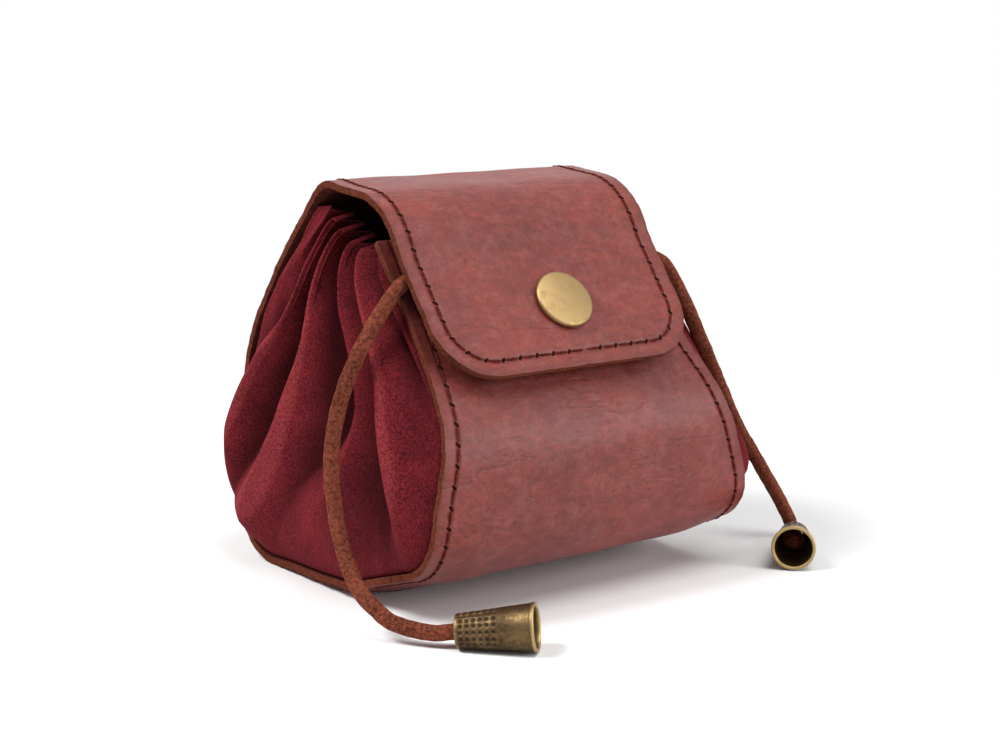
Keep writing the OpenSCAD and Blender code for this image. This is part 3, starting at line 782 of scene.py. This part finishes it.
    def surface(self, s: Array, x: Array, depth: float = 0.0) -> tuple[Array, Array]:
        """Works out points of the leather: the belt's profile, with its edges curled in at the base.

        Args:
            s: Distance along the belt from the front panel's top edge.
            x: Distance across.
            depth: Distance below the outer face.

        Returns:
            Points and outward directions, each with a last axis of 3.
        """
        y, z, angle = self.belt.at(s)
        share = np.abs(x) / self.half(s)
        curl = self.base_curl * hump(s, self.base_s, self.base_spread)
        curl = curl * ease(*self.curl_share, share) ** 1.5
        front = self.front_swell * hump(s, self.front_s, self.front_spread)
        wave = self.wave * ripple(s / self.wave_length[0], x / self.wave_length[1], 3)
        wave = wave * ease(0.0, 12.0, s) * ease(0.0, 10.0, np.abs(s - self.snap_s))
        sink = curl + depth - wave - front * (1 - share**2)
        normal = np.stack([np.zeros_like(angle), np.cos(angle), np.sin(angle)], -1)
        centre = np.stack([x + self.lean(s), y, z], -1)
        points = centre - sink[..., None] * normal
        low = np.maximum(self.lift - points[..., 2], 0.0) * (depth == 0.0)
        points[..., 2] += low
        return points, normal

    def edge_distance(self, s: Array, x: Array) -> Array:
        """Returns the distance to the leather's edge: to the sides, or around the flap's corners."""
        side = self.half(s) - np.abs(x)
        dx = np.abs(x) - (self.flap_width / 2 - self.flap_corner)
        ds = s - (self.end_s - self.flap_corner)
        corner = self.flap_corner - np.hypot(np.maximum(dx, 0.0), np.maximum(ds, 0.0))
        return np.where(ds > 0, corner, side)

    def flap_line(self, run: Array) -> tuple[Array, Array]:
        """Returns s and |x| on the flap's stitch line at distances along it."""
        turn = self.flap_corner - self.flap_inset
        start = self.end_s - self.flap_corner
        angle = np.clip((run - start) / turn, 0.0, np.pi / 2)
        s = np.where(run < start, run, start + turn * np.sin(angle))
        inner = self.flap_width / 2 - self.flap_corner
        straight = np.maximum(run - start - turn * np.pi / 2, 0.0)
        corner = inner + turn * np.cos(angle) - straight
        return s, np.where(run < start, self.half(s) - self.flap_inset, corner)

    def inset(self, s: Array) -> Array:
        """Returns the stitch line's distance from the edge: the seam's, then over the fold the flap's."""
        over = ease(self.split_s, self.hinge_s + self.fold_reach, s)
        return self.seam_inset + (self.flap_inset - self.seam_inset) * over

    def cross_fold(self, obj: bpy.types.Object, slot: str) -> None:
        """Bakes a piece's placement into its mesh; the fold's ends are worked out, but nothing bends."""
        ends = self.hinge_s + np.array(self.fold_bend)
        y, z, _ = self.belt.at(ends)
        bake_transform(obj)

    def sheet(
        self, name: str, s: Array, x: Array, square: Array, looks: Finishes
    ) -> bpy.types.Object:
        """Makes a thick sheet of leather from a grid of places on the belt.

        Args:
            name: Name of the piece.
            s: Distances along the belt, a grid.
            x: Distances across, a grid.
            square: Points of the end where the other sheet goes on.
            looks: The materials.

        Returns:
            The piece.
        """
        points = self.surface(s, x)[0]
        faces = grid_faces(*s.shape)[:, ::-1]
        materials = [looks.leather, looks.edge, looks.flesh]
        obj = new_object(name, points.reshape(-1, 3), faces, materials)
        add_values(obj, "edge", self.edge_distance(s, x))
        add_values(obj, "inset", self.inset(s))
        return thicken(obj, self.thickness, self.edge_round, inner=2, rim=1, square=square)

    def build(self, looks: Finishes) -> None:
        """Builds the strip and the flap."""
        across = np.sin(np.linspace(-np.pi / 2, np.pi / 2, 73))
        t = np.linspace(0.0, self.split_s, 240)
        s, w = np.meshgrid(t, across, indexing="ij")
        x = w * (self.half(s) + self.rough_cut * ripple(s / self.cut_wave, w, 11))
        last = np.arange(s.size - len(across), s.size)
        panel = self.sheet("leather_strip", s, x, last, looks)
        settle(panel, Body.POUCH, ["body_panel"])
        over = np.abs(across) * self.flap_width / 2 - self.flap_width / 2 + self.flap_corner
        over = np.maximum(over, 0.0)
        cut = self.flap_corner - np.sqrt(np.maximum(self.flap_corner**2 - over**2, 0.0))
        v = np.linspace(0.0, 1.0, 120)[:, None]
        s = self.split_s + v * (self.end_s - cut[None, :] - self.split_s)
        s = s - v**8 * self.rough_cut * ripple(across[None, :] * 16.0, v, 13)
        rough = self.rough_cut * ripple(s / self.cut_wave, across[None, :], 12)
        x = across[None, :] * (self.half(s) + rough)
        flap = self.sheet("leather_flap", s, x, np.arange(len(across)), looks)
        self.cross_fold(flap, "leather")
        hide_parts("flap_panel")


@dataclass
class Stitching:
    """Running stitches that dip into the leather at both ends."""

    strip: Strip
    width: float = 0.6
    rise: float = 0.12
    slit: float = 1.2
    slit_width: float = 0.8
    slit_rise: float = 0.16
    slit_sink: float = 0.2
    diagonal: float = 0.71
    sink: float = 0.6
    lowest: float = 1.2
    steps: int = 9
    sides: int = 8

    def threads(self, name: str, s: Array, x: Array, looks: Finishes) -> bpy.types.Object:
        """Makes stitches from lines of places: a bowed thread along each line, sunk at its ends.

        Args:
            name: Name of the piece.
            s: Distances along the belt, one row for each stitch.
            x: Distances across.
            looks: The materials.

        Returns:
            The piece.
        """
        t = np.linspace(0.0, 1.0, self.steps)
        arch = np.sin(np.pi * t)
        thread = self.tubes(s, x, (self.rise + self.sink) * arch**0.45 - self.sink, self.width)
        run = unit(np.stack([s[:, 1] - s[:, 0], x[:, 1] - x[:, 0]], -1))
        slant = (t - 0.5) * self.slit
        at_s = s[:, :1] + slant * (run[:, :1] - run[:, 1:]) * self.diagonal
        at_x = x[:, :1] + slant * (run[:, 1:] + run[:, :1]) * self.diagonal
        # Dark slit tubes at the stitch ends, painted as the shade inside the holes.
        slits = self.tubes(at_s, at_x, self.slit_rise * arch - self.slit_sink, self.slit_width)
        faces = thread[1] + [[k + len(thread[0]) for k in face] for face in slits[1]]
        points = np.concatenate([thread[0], slits[0]])
        obj = new_object(name, points, faces, [looks.thread, looks.slit])
        slot = (np.arange(len(faces)) >= len(thread[1])).astype(int)
        obj.data.polygons.foreach_set("material_index", slot.tolist())
        return obj

    def tubes(self, s: Array, x: Array, bow: Array, width: float) -> tuple[Array, list]:
        """Makes a thin tube along each line of places.

        Args:
            s: Distances along the belt, one row for each tube.
            x: Distances across.
            bow: Height over the leather at each step.
            width: Width of the tube.

        Returns:
            Points and faces.
        """
        points, normals = self.strip.surface(s, x)
        a = np.linspace(0.0, 2 * np.pi, self.sides, endpoint=False)
        ring = np.stack([np.cos(a), np.sin(a) * 0.8], -1) * width / 2
        rings = np.broadcast_to(ring, (self.steps, self.sides, 2))
        return sweep(points + normals * bow[None, :, None], normals, rings)

    def build(self, looks: Finishes) -> None:
        """Builds both seams, the stitches over the fold and the flap's line."""
        strip = self.strip
        t = np.linspace(0.0, strip.stitch, self.steps)[None, :]
        count = int((strip.split_s - strip.seam_start - strip.stitch) / strip.pitch) + 1
        s = strip.seam_start + np.arange(count)[:, None] * strip.pitch + t
        s = s[strip.belt.at(s)[1].min(axis=1) > self.lowest]
        for side in Side:
            x = side.value * (strip.half(s) - strip.seam_inset)
            piece = self.threads(f"{side.label}_seam_stitches", s, x, looks)
            settle(piece, Body.POUCH, [f"{side.label}_seam_thread"])
        first = strip.hinge_s + strip.fold_reach
        middle = strip.middle_run - strip.stitch / 2
        count = int((middle - first) / strip.pitch)
        over = int((middle - strip.split_s) / strip.pitch)
        s = middle - np.arange(count + 1, over + 1)[:, None] * strip.pitch + t
        x = strip.half(s) - strip.inset(s)
        both_s, both_x = np.concatenate([s, s]), np.concatenate([-x, x])
        piece = self.threads("fold_stitches", both_s, both_x, looks)
        strip.cross_fold(piece, "thread")
        run = middle - np.arange(1, count + 1)[:, None] * strip.pitch + t
        s, x = strip.flap_line(run)
        centre = np.full((1, self.steps), strip.end_s - strip.flap_inset)
        s = np.concatenate([s, s, centre])
        x = np.concatenate([-x, x, t - strip.stitch / 2])
        piece = self.threads("flap_stitches", s, x, looks)
        settle(piece, Body.FLAP, ["flap_thread"])


@dataclass(frozen=True)
class Fold:
    """Ridge or valley of a pleated side, given at even steps from the seam to the gather.

    places are shares of the seam's length, and heights are shares of the pleats' depth.
    """

    places: tuple
    heights: tuple


@dataclass(frozen=True)
class Bulge:
    """Soft swelling of a pleated side.

    u is its place along the seam and v its share of the way to the gather, each with a spread. It
    starts at the seam and is whole at the share start.
    """

    height: float
    u: tuple
    v: tuple
    start: float

    def at(self, u: Array, v: Array) -> Array:
        """Returns the swelling at places along the seam and shares of the way to the gather."""
        return self.height * hump(u, *self.u) * hump(v, *self.v) * ease(0.0, self.start, v)


LOW_BULGE = Bulge(3.4, (0.665, 0.085), (0.11, 0.13), 0.07)
FRONT_BULGE = Bulge(5.0, (0.27, 0.05), (0.08, 0.09), 0.06)


@dataclass
class SuedeSide:
    """Pleated suede side, sewn inside the strip's edge and gathered at the mouth."""

    strip: Strip
    side: Side
    thickness: float = 1.4
    seam_inset: float = 1.2
    back_inset: float = 3.2
    swell: float = 9.0
    pleat_depth: float = 10.0
    bulges: tuple = (LOW_BULGE,)
    unevenness: float = 0.35
    first_s: float = 3.0
    top_margin: float = 4.0
    gap: float = 0.3
    edge_round: float = 0.3
    gather_x: float = 34.0
    gather_dip: float = 4.0
    gather_front: tuple = (0.5, -3.0)
    gather_back: tuple = (13.5, 91.5)
    # Fold heights that map to the ridge value, 0 in the valleys and 1 on the ridges; the suede paints
    # shade and lighter ridge tops by it.
    shade_and_highlight_heights: tuple = (-4.5, 3.0)
    folds: tuple = (
        Fold((0.0, 0.0, 0.0, 0.0, 0.0), (0.0, 0.0, 0.0, 0.0, 0.0)),
        Fold((0.1, 0.08, 0.06, 0.05, 0.06), (0.0, 0.05, 0.1, 0.15, 0.15)),
        Fold((0.17, 0.15, 0.11, 0.12, 0.2), (0.0, -0.35, -0.65, -0.6, -0.5)),
        Fold((0.32, 0.285, 0.225, 0.245, 0.36), (0.0, 0.3, 0.3, 0.25, 0.2)),
        Fold((0.36, 0.335, 0.28, 0.31, 0.46), (0.0, -0.45, -0.5, -0.5, -0.5)),
        Fold((0.53, 0.45, 0.335, 0.37, 0.55), (0.0, 0.15, 0.15, 0.15, 0.2)),
        Fold((0.575, 0.525, 0.425, 0.48, 0.66), (0.0, -0.15, -0.8, -0.85, -0.65)),
        Fold((0.63, 0.6, 0.555, 0.56, 0.74), (0.0, 0.45, 0.4, 0.3, 0.2)),
        Fold((0.66, 0.645, 0.625, 0.625, 0.8), (0.0, -0.3, -0.55, -0.6, -0.6)),
        Fold((0.71, 0.715, 0.705, 0.69, 0.87), (0.0, 0.35, 0.35, 0.25, 0.2)),
        Fold((0.77, 0.775, 0.765, 0.755, 0.92), (0.0, -0.2, -0.3, -0.4, -0.5)),
        Fold((0.82, 0.83, 0.84, 0.83, 0.97), (0.0, 0.15, 0.15, 0.15, 0.1)),
        Fold((1.0, 1.0, 1.0, 1.0, 1.0), (0.0, 0.0, 0.0, 0.0, 0.0)),
    )

    def pleats(self, v: Array) -> tuple[Array, Array]:
        """Works out the folds: round over each ridge, sharp in each valley.

        Args:
            v: Shares of the way from the seam to the gather.

        Returns:
            Place along the seam and height, grids with a row for each step across the folds.
        """
        place = np.stack([through(f.places, v) for f in self.folds])
        height = np.stack([through(f.heights, v) for f in self.folds])
        t = np.linspace(0.0, 1.0, 14, endpoint=False)[None, :, None]
        a, b = height[:-1, None], height[1:, None]
        rise = (2 * t + np.sin(np.pi / 2 * t)) / 3
        fall = 1 - (2 * (1 - t) + np.cos(np.pi / 2 * t)) / 3
        curve = np.where(b > a, rise, fall)
        u = place[:-1, None] + (place[1:] - place[:-1])[:, None] * t
        h = self.pleat_depth * (a + (b - a) * curve)
        rows = (-1, len(v))
        u = np.concatenate([u.reshape(rows), place[-1:]])
        return u, np.concatenate([h.reshape(rows), 0 * place[-1:]])

    @staticmethod
    def level_run(points: Array, level: float) -> float:
        """Returns the length of a level line across the side, from its front seam to its back seam.

        Args:
            points: Points of the side, a row from seam to gather at each step around.
            level: Height of the line.
        """
        first = np.argmax(points[..., 2] > level, axis=1)
        rows = np.flatnonzero(first > 0)
        a, b = points[rows, first[rows] - 1], points[rows, first[rows]]
        share = (level - a[:, 2:]) / (b[:, 2:] - a[:, 2:])
        return float(distances(a + (b - a) * share)[-1])

    def build(self, looks: Finishes) -> None:
        """Builds the side: from seam to gather, swollen outwards and folded into pleats."""
        strip, sign = self.strip, self.side.value
        line_v = np.linspace(0.0, 1.0, 71)
        u, folds = self.pleats(line_v)
        v = np.broadcast_to(line_v, u.shape)
        top = strip.hinge_s - self.top_margin
        s = self.first_s + (top - self.first_s) * u
        inset = self.seam_inset + self.back_inset * ease(0.73, 0.85, u) * ease(1.0, 0.93, u)
        x = sign * (strip.half(s) - inset)
        seam = strip.surface(s, x, strip.thickness + self.gap)[0]
        front = strip.on_flank(*self.gather_front)
        line = front + (np.array(self.gather_back) - front) * u[..., None]
        dip = self.gather_dip * np.sin(np.pi * u)
        mouth = np.full_like(u, sign * self.gather_x)
        gather = np.stack([mouth, line[..., 0], line[..., 1] - dip], -1)
        swell = self.swell * np.abs(np.sin(np.pi * v)) ** 0.6
        swell = swell * np.sin(np.pi * np.clip(u, 0.0, 1.0)) ** 0.7
        swell = swell + sum(bulge.at(u, v) for bulge in self.bulges)
        uneven = self.unevenness * ripple(u * 14.0, v * 5.0, 7 + sign)
        uneven = uneven * ease(0.0, 0.3, v) * ease(1.0, 0.7, v)
        points = seam + (gather - seam) * v[..., None]
        points[..., 0] += sign * (swell + folds + uneven)
        faces = grid_faces(*u.shape)
        faces = faces[:, ::-1] if sign > 0 else faces
        name = self.side.label
        obj = new_object(f"{name}_suede", points.reshape(-1, 3), faces, [looks.suede])
        add_values(obj, "ridge", ease(*self.shade_and_highlight_heights, folds))
        thicken(obj, self.thickness, self.edge_round, inner=0, rim=0)
        settle(obj, Body.POUCH, [f"{name}_gusset"])
        widest = max(self.level_run(points, level) for level in range(10, 70, 5))


@dataclass
class Bell:
    """Cone-shaped brass cord end on the table, with rows of dimples on its small half."""

    side: Side
    end: tuple
    yaw: float
    length: float = 18.0
    mouth_d: float = 11.0
    end_d: float = 7.8
    wall: float = 0.8
    end_t: float = 1.2
    bead_w: float = 1.0
    bead_h: float = 0.25
    lip: float = 0.06
    hole_d: float = 4.8
    knot_foot: float = 1.5
    rows: int = 6
    columns: int = 18
    row_pitch: float = 1.5
    dimple_r: float = 0.56
    dimple_depth: float = 0.4
    foot_h: float = 0.6
    foot_round: float = 0.45
    bead_round: float = 0.35
    steps: int = 90
    sides: int = 216

    def __post_init__(self) -> None:
        """Works out the tilt at which the cone lies on the table, and its axis."""
        drop = self.mouth_d / 2 + self.bead_h - self.end_d / 2
        self.tilt = np.arctan(drop / (self.length - self.bead_w / 2))
        self.foot = np.array([*self.end, self.end_d / 2 * np.cos(self.tilt) + 0.05])
        turn = np.radians(self.yaw)
        flat = np.array([np.cos(turn), np.sin(turn)]) * np.cos(self.tilt)
        self.axis = np.array([*flat, np.sin(self.tilt)])

    def along(self, distance: float) -> Array:
        """Returns a point on the axis, measured from the small end."""
        return self.foot + distance * self.axis

    def lay(self, points: Array) -> Array:
        """Turns points from the bell's own frame, with Z along its axis, to where it lies."""
        side = unit(np.cross(np.array([0.0, 0.0, 1.0]), self.axis))
        up = np.cross(self.axis, side)
        return self.foot + points @ np.stack([up, side, self.axis])

    def build(self, looks: Finishes) -> bpy.types.Object:
        """Builds the bell: a turned wall whose outside sinks at each dimple."""
        name = self.side.label
        end_r, mouth_r, hole_r = self.end_d / 2, self.mouth_d / 2, self.hole_d / 2
        z = np.linspace(self.foot_h, self.length - self.bead_w, self.steps)
        outside = [(end_r + (mouth_r - end_r) * h / self.length, h) for h in z]
        foot = [(hole_r, self.end_t), (hole_r, 0.0), (end_r, 0.0), outside[0]]
        corners = rounded(foot, self.foot_round)
        bead = rounded(
            [
                outside[-1],
                (mouth_r + self.lip, self.length - self.bead_w * 0.9),
                (mouth_r + self.lip, self.length),
                (mouth_r - self.wall, self.length),
                (mouth_r - self.wall - 0.1, self.length - 1.0),
            ],
            self.bead_round,
        )
        inside = [(end_r - self.wall, self.end_t), (hole_r, self.end_t)]
        profile = np.concatenate([corners, outside[1:-1], bead, inside])
        points, angle, height, faces = lathe(profile, self.sides)
        row = (height - self.row_pitch) / self.row_pitch
        column = angle / (2 * np.pi) * self.columns
        dr = (row - np.round(row)) * self.row_pitch
        radius = np.hypot(points[..., 0], points[..., 1])
        dc = (column - np.round(column)) / self.columns * 2 * np.pi * radius
        inside_rows = (np.round(row) >= 0) & (np.round(row) < self.rows)
        outer = radius > end_r + (mouth_r - end_r) * height / self.length - 0.3
        dent = np.clip(1 - (dr**2 + dc**2) / self.dimple_r**2, 0.0, 1.0) * inside_rows * outer
        points[..., :2] *= (1 - self.dimple_depth * dent / np.maximum(radius, 1.0))[..., None]
        placed = self.lay(points.reshape(-1, 3))
        obj = new_object(f"{name}_cord_bell", placed, faces[:, ::-1], [looks.bell])
        worn = ease(self.length - 0.9, self.length - 0.3, height)
        add_values(obj, "dent", dent**0.5)
        add_values(obj, "worn", np.maximum(worn, 0.5 * ease(0.9, 0.2, height) * outer))
        return settle(obj, Body(f"{name}_bell"), [f"{name}_bell"])

    def knot(self, looks: Finishes) -> bpy.types.Object:
        """Builds the knot: a lumpy turned form whose radius wanders around it, with the cord's tail."""
        name = self.side.label
        lump = [(0.01, 0.0), (1.8, 0.0), (2.9, 1.4), (2.9, 3.6)]
        tail = [(1.9, 5.0), (1.8, 6.8), (0.01, 7.0)]
        profile = rounded(lump + tail, 0.8)
        points, angle, height, faces = lathe(profile, 40)
        twist = np.sin(2 * angle + height * 1.3) * np.sin(np.clip(height / 5.0, 0, 1) * np.pi)
        points[..., :2] *= (1 + 0.09 * twist - 0.06)[..., None]
        points[..., 2] += self.knot_foot
        placed = self.lay(points.reshape(-1, 3))
        obj = new_object(f"{name}_cord_knot", placed, faces[:, ::-1], [looks.cord])
        return settle(obj, Body.POUCH, [f"{name}_knot"])


@dataclass
class Cord:
    """Leather lace with a soft, slightly flat section."""

    width: float = 3.7
    depth: float = 3.0
    diameter: float = 3.6
    sides: int = 20
    clearance: float = 0.3
    exit_x: float = 32.5
    hole_x: float = 27.0
    hole_station: float = 12.0
    inside: float = 7.0
    rear_y: float = 30.28
    turn_r: float = 7.5
    hole_r: float = 5.0
    held_r: float = 8.0

    def lace(
        self, name: str, path: Array, twist: float, seed: int, looks: Finishes
    ) -> bpy.types.Object:
        """Makes a lace along a path: a rounded square ring that turns slowly and wanders in size.

        Args:
            name: Name of the piece.
            path: Centre line.
            twist: Whole turn of the section along the path, in degrees.
            seed: Chooses how the surface wanders.
            looks: The materials.

        Returns:
            The piece.
        """
        run = distances(path)
        along = unit(np.gradient(path, axis=0))
        up = np.array([0.35, 0.8, 0.5])
        normals = unit(up - (along @ up)[:, None] * along)
        a = np.linspace(0.0, 2 * np.pi, self.sides, endpoint=False)
        turn = np.radians(twist) * (run / run[-1])[:, None]
        c, s = np.cos(a), np.sin(a)
        square = np.stack([np.sign(c) * np.abs(c) ** 0.85, np.sign(s) * np.abs(s) ** 0.85], -1)
        ring = square * np.array([self.width / 2, self.depth / 2])
        wander = np.minimum(1 + 0.05 * ripple(run[:, None] / 2.2, a[None, :], seed), 1.06)
        x, y = ring[:, 0] * wander, ring[:, 1] * wander
        c, s = np.cos(turn), np.sin(turn)
        turned = np.stack([x * c - y * s, x * s + y * c], -1)
        points, faces = sweep(path[None], normals[None], turned[None])
        return new_object(name, points, faces, [looks.cord])

    def free(
        self, side: Side, route: Sequence[Sequence[float]], bell: Bell, twist: float, looks: Finishes
    ) -> None:
        """Args:
            side: Left or right.
            route: The route's points.
            bell: Bell on its end.
            twist: Turn of the section in degrees.
            looks: The materials.
        """
        name = side.label
        path = smooth_path(route, 0.7)
        lace = self.lace(f"{name}_lace", path, twist, 11 + side.value, looks)
        settle(lace, Body.POUCH, [f"{name}_cord"])
        pieces = [bell.build(looks), bell.knot(looks)]

    def build(self, strip: Strip, looks: Finishes) -> None:
        """Builds the held run and both loose ends."""
        rise = self.diameter / 2 + self.clearance
        left_exit = strip.on_front(-self.exit_x, self.hole_station, rise)
        right_exit = strip.on_front(self.exit_x, self.hole_station, rise)
        left_bell = Bell(Side.LEFT, (-44.0, -53.0), -45.0)
        right_bell = Bell(Side.RIGHT, (70.5, -41.0), -135.0)
        left = [left_exit, left_exit - [1.5, 0, 0]]
        left += [
            [-37, -23.5, 77.6], [-40.3, -24.3, 75.9], [-44, -24.8, 72.2], [-48.4, -25, 66.6],
            [-51.8, -25, 61.2], [-54.5, -24.7, 55.4], [-56.4, -24.2, 49], [-57.6, -23.8, 41.5],
            [-57.8, -24, 33], [-57.4, -25.3, 24.5], [-57, -28, 17], [-56.5, -32, 11], [-55, -37, 7],
            [-53, -42, 4.5],
        ]  # fmt: skip
        left += [left_bell.along(a) for a in (-6.0, 0.0, left_bell.knot_foot)]
        self.free(Side.LEFT, left, left_bell, 60.0, looks)
        corner = right_bell.along(-18.0)
        drop, low = np.array([43, -28.6, 65.3]), np.array([61, -28.3, 32.8])
        right = [right_exit, *bend(right_exit, right_exit + [6.5, 0, 0], drop, self.turn_r)]
        right += [drop, [47.2, -30, 55.6], [53.2, -29.6, 45.1], low, [69, -27.5, 22.5]]
        right += list(bend(low, corner, right_bell.foot, self.turn_r))
        right += [right_bell.along(a) for a in (0.0, right_bell.knot_foot)]
        self.free(Side.RIGHT, right, right_bell, -50.0, looks)
        level = strip.on_front(-self.hole_x, self.hole_station, -self.inside)
        hole = strip.on_front(-self.hole_x, self.hole_station, rise)
        rear = np.array([-self.hole_x, self.rear_y, level[2]])
        middle = np.array([0.0, rear[1], level[2]])
        half = [left_exit, *bend(left_exit, hole, level, self.hole_r)]
        half += [*bend(hole, level, rear, self.held_r), *bend(level, rear, middle, self.held_r)]
        half = np.array(half)
        run = smooth_path(np.concatenate([half, half[::-1] * [-1, 1, 1]]), 1.0)
        lace = self.lace("held_lace", run, 0.0, 21, looks)
        settle(lace, Body.POUCH, ["drawstring_run"])


def bend(a: Array, b: Array, c: Array, radius: float, steps: int = 7) -> Array:
    """Returns points of a round corner at b on the way from a to c.

    Args:
        a: Point before the corner.
        b: The corner.
        c: Point after it.
        radius: Radius of the round.
        steps: Number of points, each a turn of one arm into the other.
    """
    u, v = unit(a - b), unit(c - b)
    half = np.arccos(u @ v) / 2
    turn = np.pi - 2 * half
    centre = b + unit(u + v) * radius / np.sin(half)
    p = b + u * radius / np.tan(half) - centre
    q = b + v * radius / np.tan(half) - centre
    t = np.linspace(0.0, turn, steps)[:, None]
    return centre + (np.sin(turn - t) * p + np.sin(t) * q) / np.sin(turn)


@dataclass
class Snap:
    """Snap fastener: a turned cap on the flap, and the plain brass of its hidden parts."""

    strip: Strip
    diameter: float = 15.0
    rim: float = 1.5
    crown: float = 0.55
    flat: float = 1.1
    edge: float = 0.12
    shank_r: float = 1.8
    shank_l: float = 2.6
    gap: float = 0.05

    def build(self, looks: Finishes) -> None:
        """Builds the cap, a turned disc with a round rim and a low crown, and dresses the other parts."""
        r, top = self.diameter / 2, self.rim + self.edge
        shank = [(0.0, -self.shank_l), (self.shank_r, -self.shank_l), (self.shank_r, 0.0)]
        side = [(r - 0.3, 0.0), (r, 0.75), (r - 0.25, self.rim), (r - self.flat, top)]
        profile = rounded(shank + side, 0.5)
        t = np.linspace(1.0, 0.0, 24)
        crown = np.stack([(r - self.flat) * t, top + (self.crown - self.edge) * (1 - t**2)], 1)
        points, _, _, faces = lathe(np.concatenate([profile, crown[1:]]), 96)
        across = np.array([1.0, 0.0, 0.0])
        strip, out = self.strip, np.array([0.0, *self.strip.out])
        rise = strip.flap_gap + strip.thickness + self.gap
        foot = strip.on_front(0.0, strip.snap_station, rise)
        placed = foot + points.reshape(-1, 3) @ np.stack([across, np.cross(out, across), out])
        obj = new_object("snap_cap_turned", placed, faces[:, ::-1], [looks.cap])
        settle(obj, Body.FLAP, ["snap_cap"])
        for name in ("snap_socket", "snap_spring", "snap_stud", "snap_post"):
            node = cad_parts[name]
            node.data.materials.clear()
            node.data.materials.append(looks.cap)


class Studio:
    """Camera at the photograph's angle, pale floor, white surroundings and soft lamps."""

    location = (-0.2788, -0.3924, 0.1416)
    azimuth = 36.0
    elevation = 11.0
    focal = 1960.0
    image_width = 1000.0
    sensor = 36.0
    clip_start = 0.01
    white = (1.0, 1.0, 1.0, 1.0)
    pale = (0.93, 0.93, 0.93, 1.0)
    soft_light = 0.25
    floor_half = 3000.0
    floor_fade = (0.34, 0.14)
    aim = (0.0, 0.0, 0.05)
    lamps = (
        ("key", (-0.6, 0.15, 0.75), 0.35, 9.0),
        ("front", (0.5, -0.75, 0.3), 0.45, 5.0),
        ("top", (0.1, -0.4, 0.9), 0.6, 5.0),
    )

    def camera(self) -> None:
        """Makes the camera: it looks along its azimuth and elevation."""
        a, e = np.radians([self.azimuth, self.elevation])
        back = np.array([-np.sin(a) * np.cos(e), -np.cos(a) * np.cos(e), np.sin(e)])
        right = np.array([np.cos(a), -np.sin(a), 0.0])
        data = bpy.data.cameras.new("camera")
        data.sensor_width = self.sensor
        data.lens = self.focal / self.image_width * self.sensor
        data.clip_start = self.clip_start
        camera = bpy.data.objects.new("camera", data)
        turn = Matrix(np.stack([right, np.cross(back, right), back], 1).tolist()).to_4x4()
        camera.matrix_world = Matrix.Translation(self.location) @ turn
        bpy.context.scene.collection.objects.link(camera)
        bpy.context.scene.camera = camera

    def lamp(self, name: str, place: tuple, size: float, power: float) -> None:
        """Makes a square soft lamp that points at the pouch."""
        data = bpy.data.lights.new(name, "AREA")
        data.size = size
        data.energy = power
        lamp = bpy.data.objects.new(name, data)
        z = unit(np.array(place) - np.array(self.aim))
        x = unit(np.cross(np.array([0.0, 0.0, 1.0]) + 1e-6, z))
        turn = Matrix(np.stack([x, np.cross(z, x), z], 1).tolist()).to_4x4()
        lamp.matrix_world = Matrix.Translation(place) @ turn
        bpy.context.scene.collection.objects.link(lamp)

    def floor(self) -> None:
        """Makes the floor: it keeps the object's shadow and fades into the white surroundings."""
        corners = [[-1, -1, 0], [1, -1, 0], [1, 1, 0], [-1, 1, 0]]
        points = np.array(corners, float) * self.floor_half
        s = Shader("pale_floor")
        length = {"operation": "LENGTH"}
        reach = s.node("ShaderNodeVectorMath", length, {0: s.coordinates()}, "Value")
        s.set(Base_Color=self.pale, Roughness=0.9, Specular_IOR_Level=0.1)
        s.set(Alpha=reach.rise(*self.floor_fade))
        floor = new_object("floor", points, [[0, 1, 2, 3]], [s.material], smooth=False)

    def world(self) -> None:
        """Makes the surroundings: soft light, and white to the camera, to metal and to glass."""
        world = bpy.data.worlds.new("studio")
        bpy.context.scene.world = world
        world.use_nodes = True
        nodes = Nodes(world.node_tree)
        rays = ("Is Camera Ray", "Is Glossy Ray", "Is Transmission Ray")
        camera, glossy, clear = (nodes.node("ShaderNodeLightPath", {}, {}, ray) for ray in rays)
        lights = [
            nodes.node("ShaderNodeBackground", {}, {"Color": self.white, "Strength": strength})
            for strength in (self.soft_light, 1.0)
        ]
        sockets = {0: camera.most(glossy).most(clear), 1: lights[0], 2: lights[1]}
        mix = nodes.node("ShaderNodeMixShader", {}, sockets)
        nodes.put(world.node_tree.nodes["World Output"].inputs["Surface"], mix)

    def build(self) -> None:
        """Builds everything around the pouch."""
        bpy.context.scene.view_settings.view_transform = "Standard"
        self.camera()
        self.floor()
        self.world()
        for lamp in self.lamps:
            self.lamp(*lamp)


def main() -> None:
    """Builds the studio, the cord and every other piece in order."""
    logging.basicConfig(level=logging.INFO)
    Studio().build()
    looks = Finishes()
    strip = Strip()
    Cord().build(strip, looks)
    strip.build(looks)
    SuedeSide(strip, Side.LEFT).build(looks)
    SuedeSide(strip, Side.RIGHT, swell=6.5, bulges=(LOW_BULGE, FRONT_BULGE)).build(looks)
    Stitching(strip).build(looks)
    Snap(strip).build(looks)


if __name__ == "__main__":
    main()
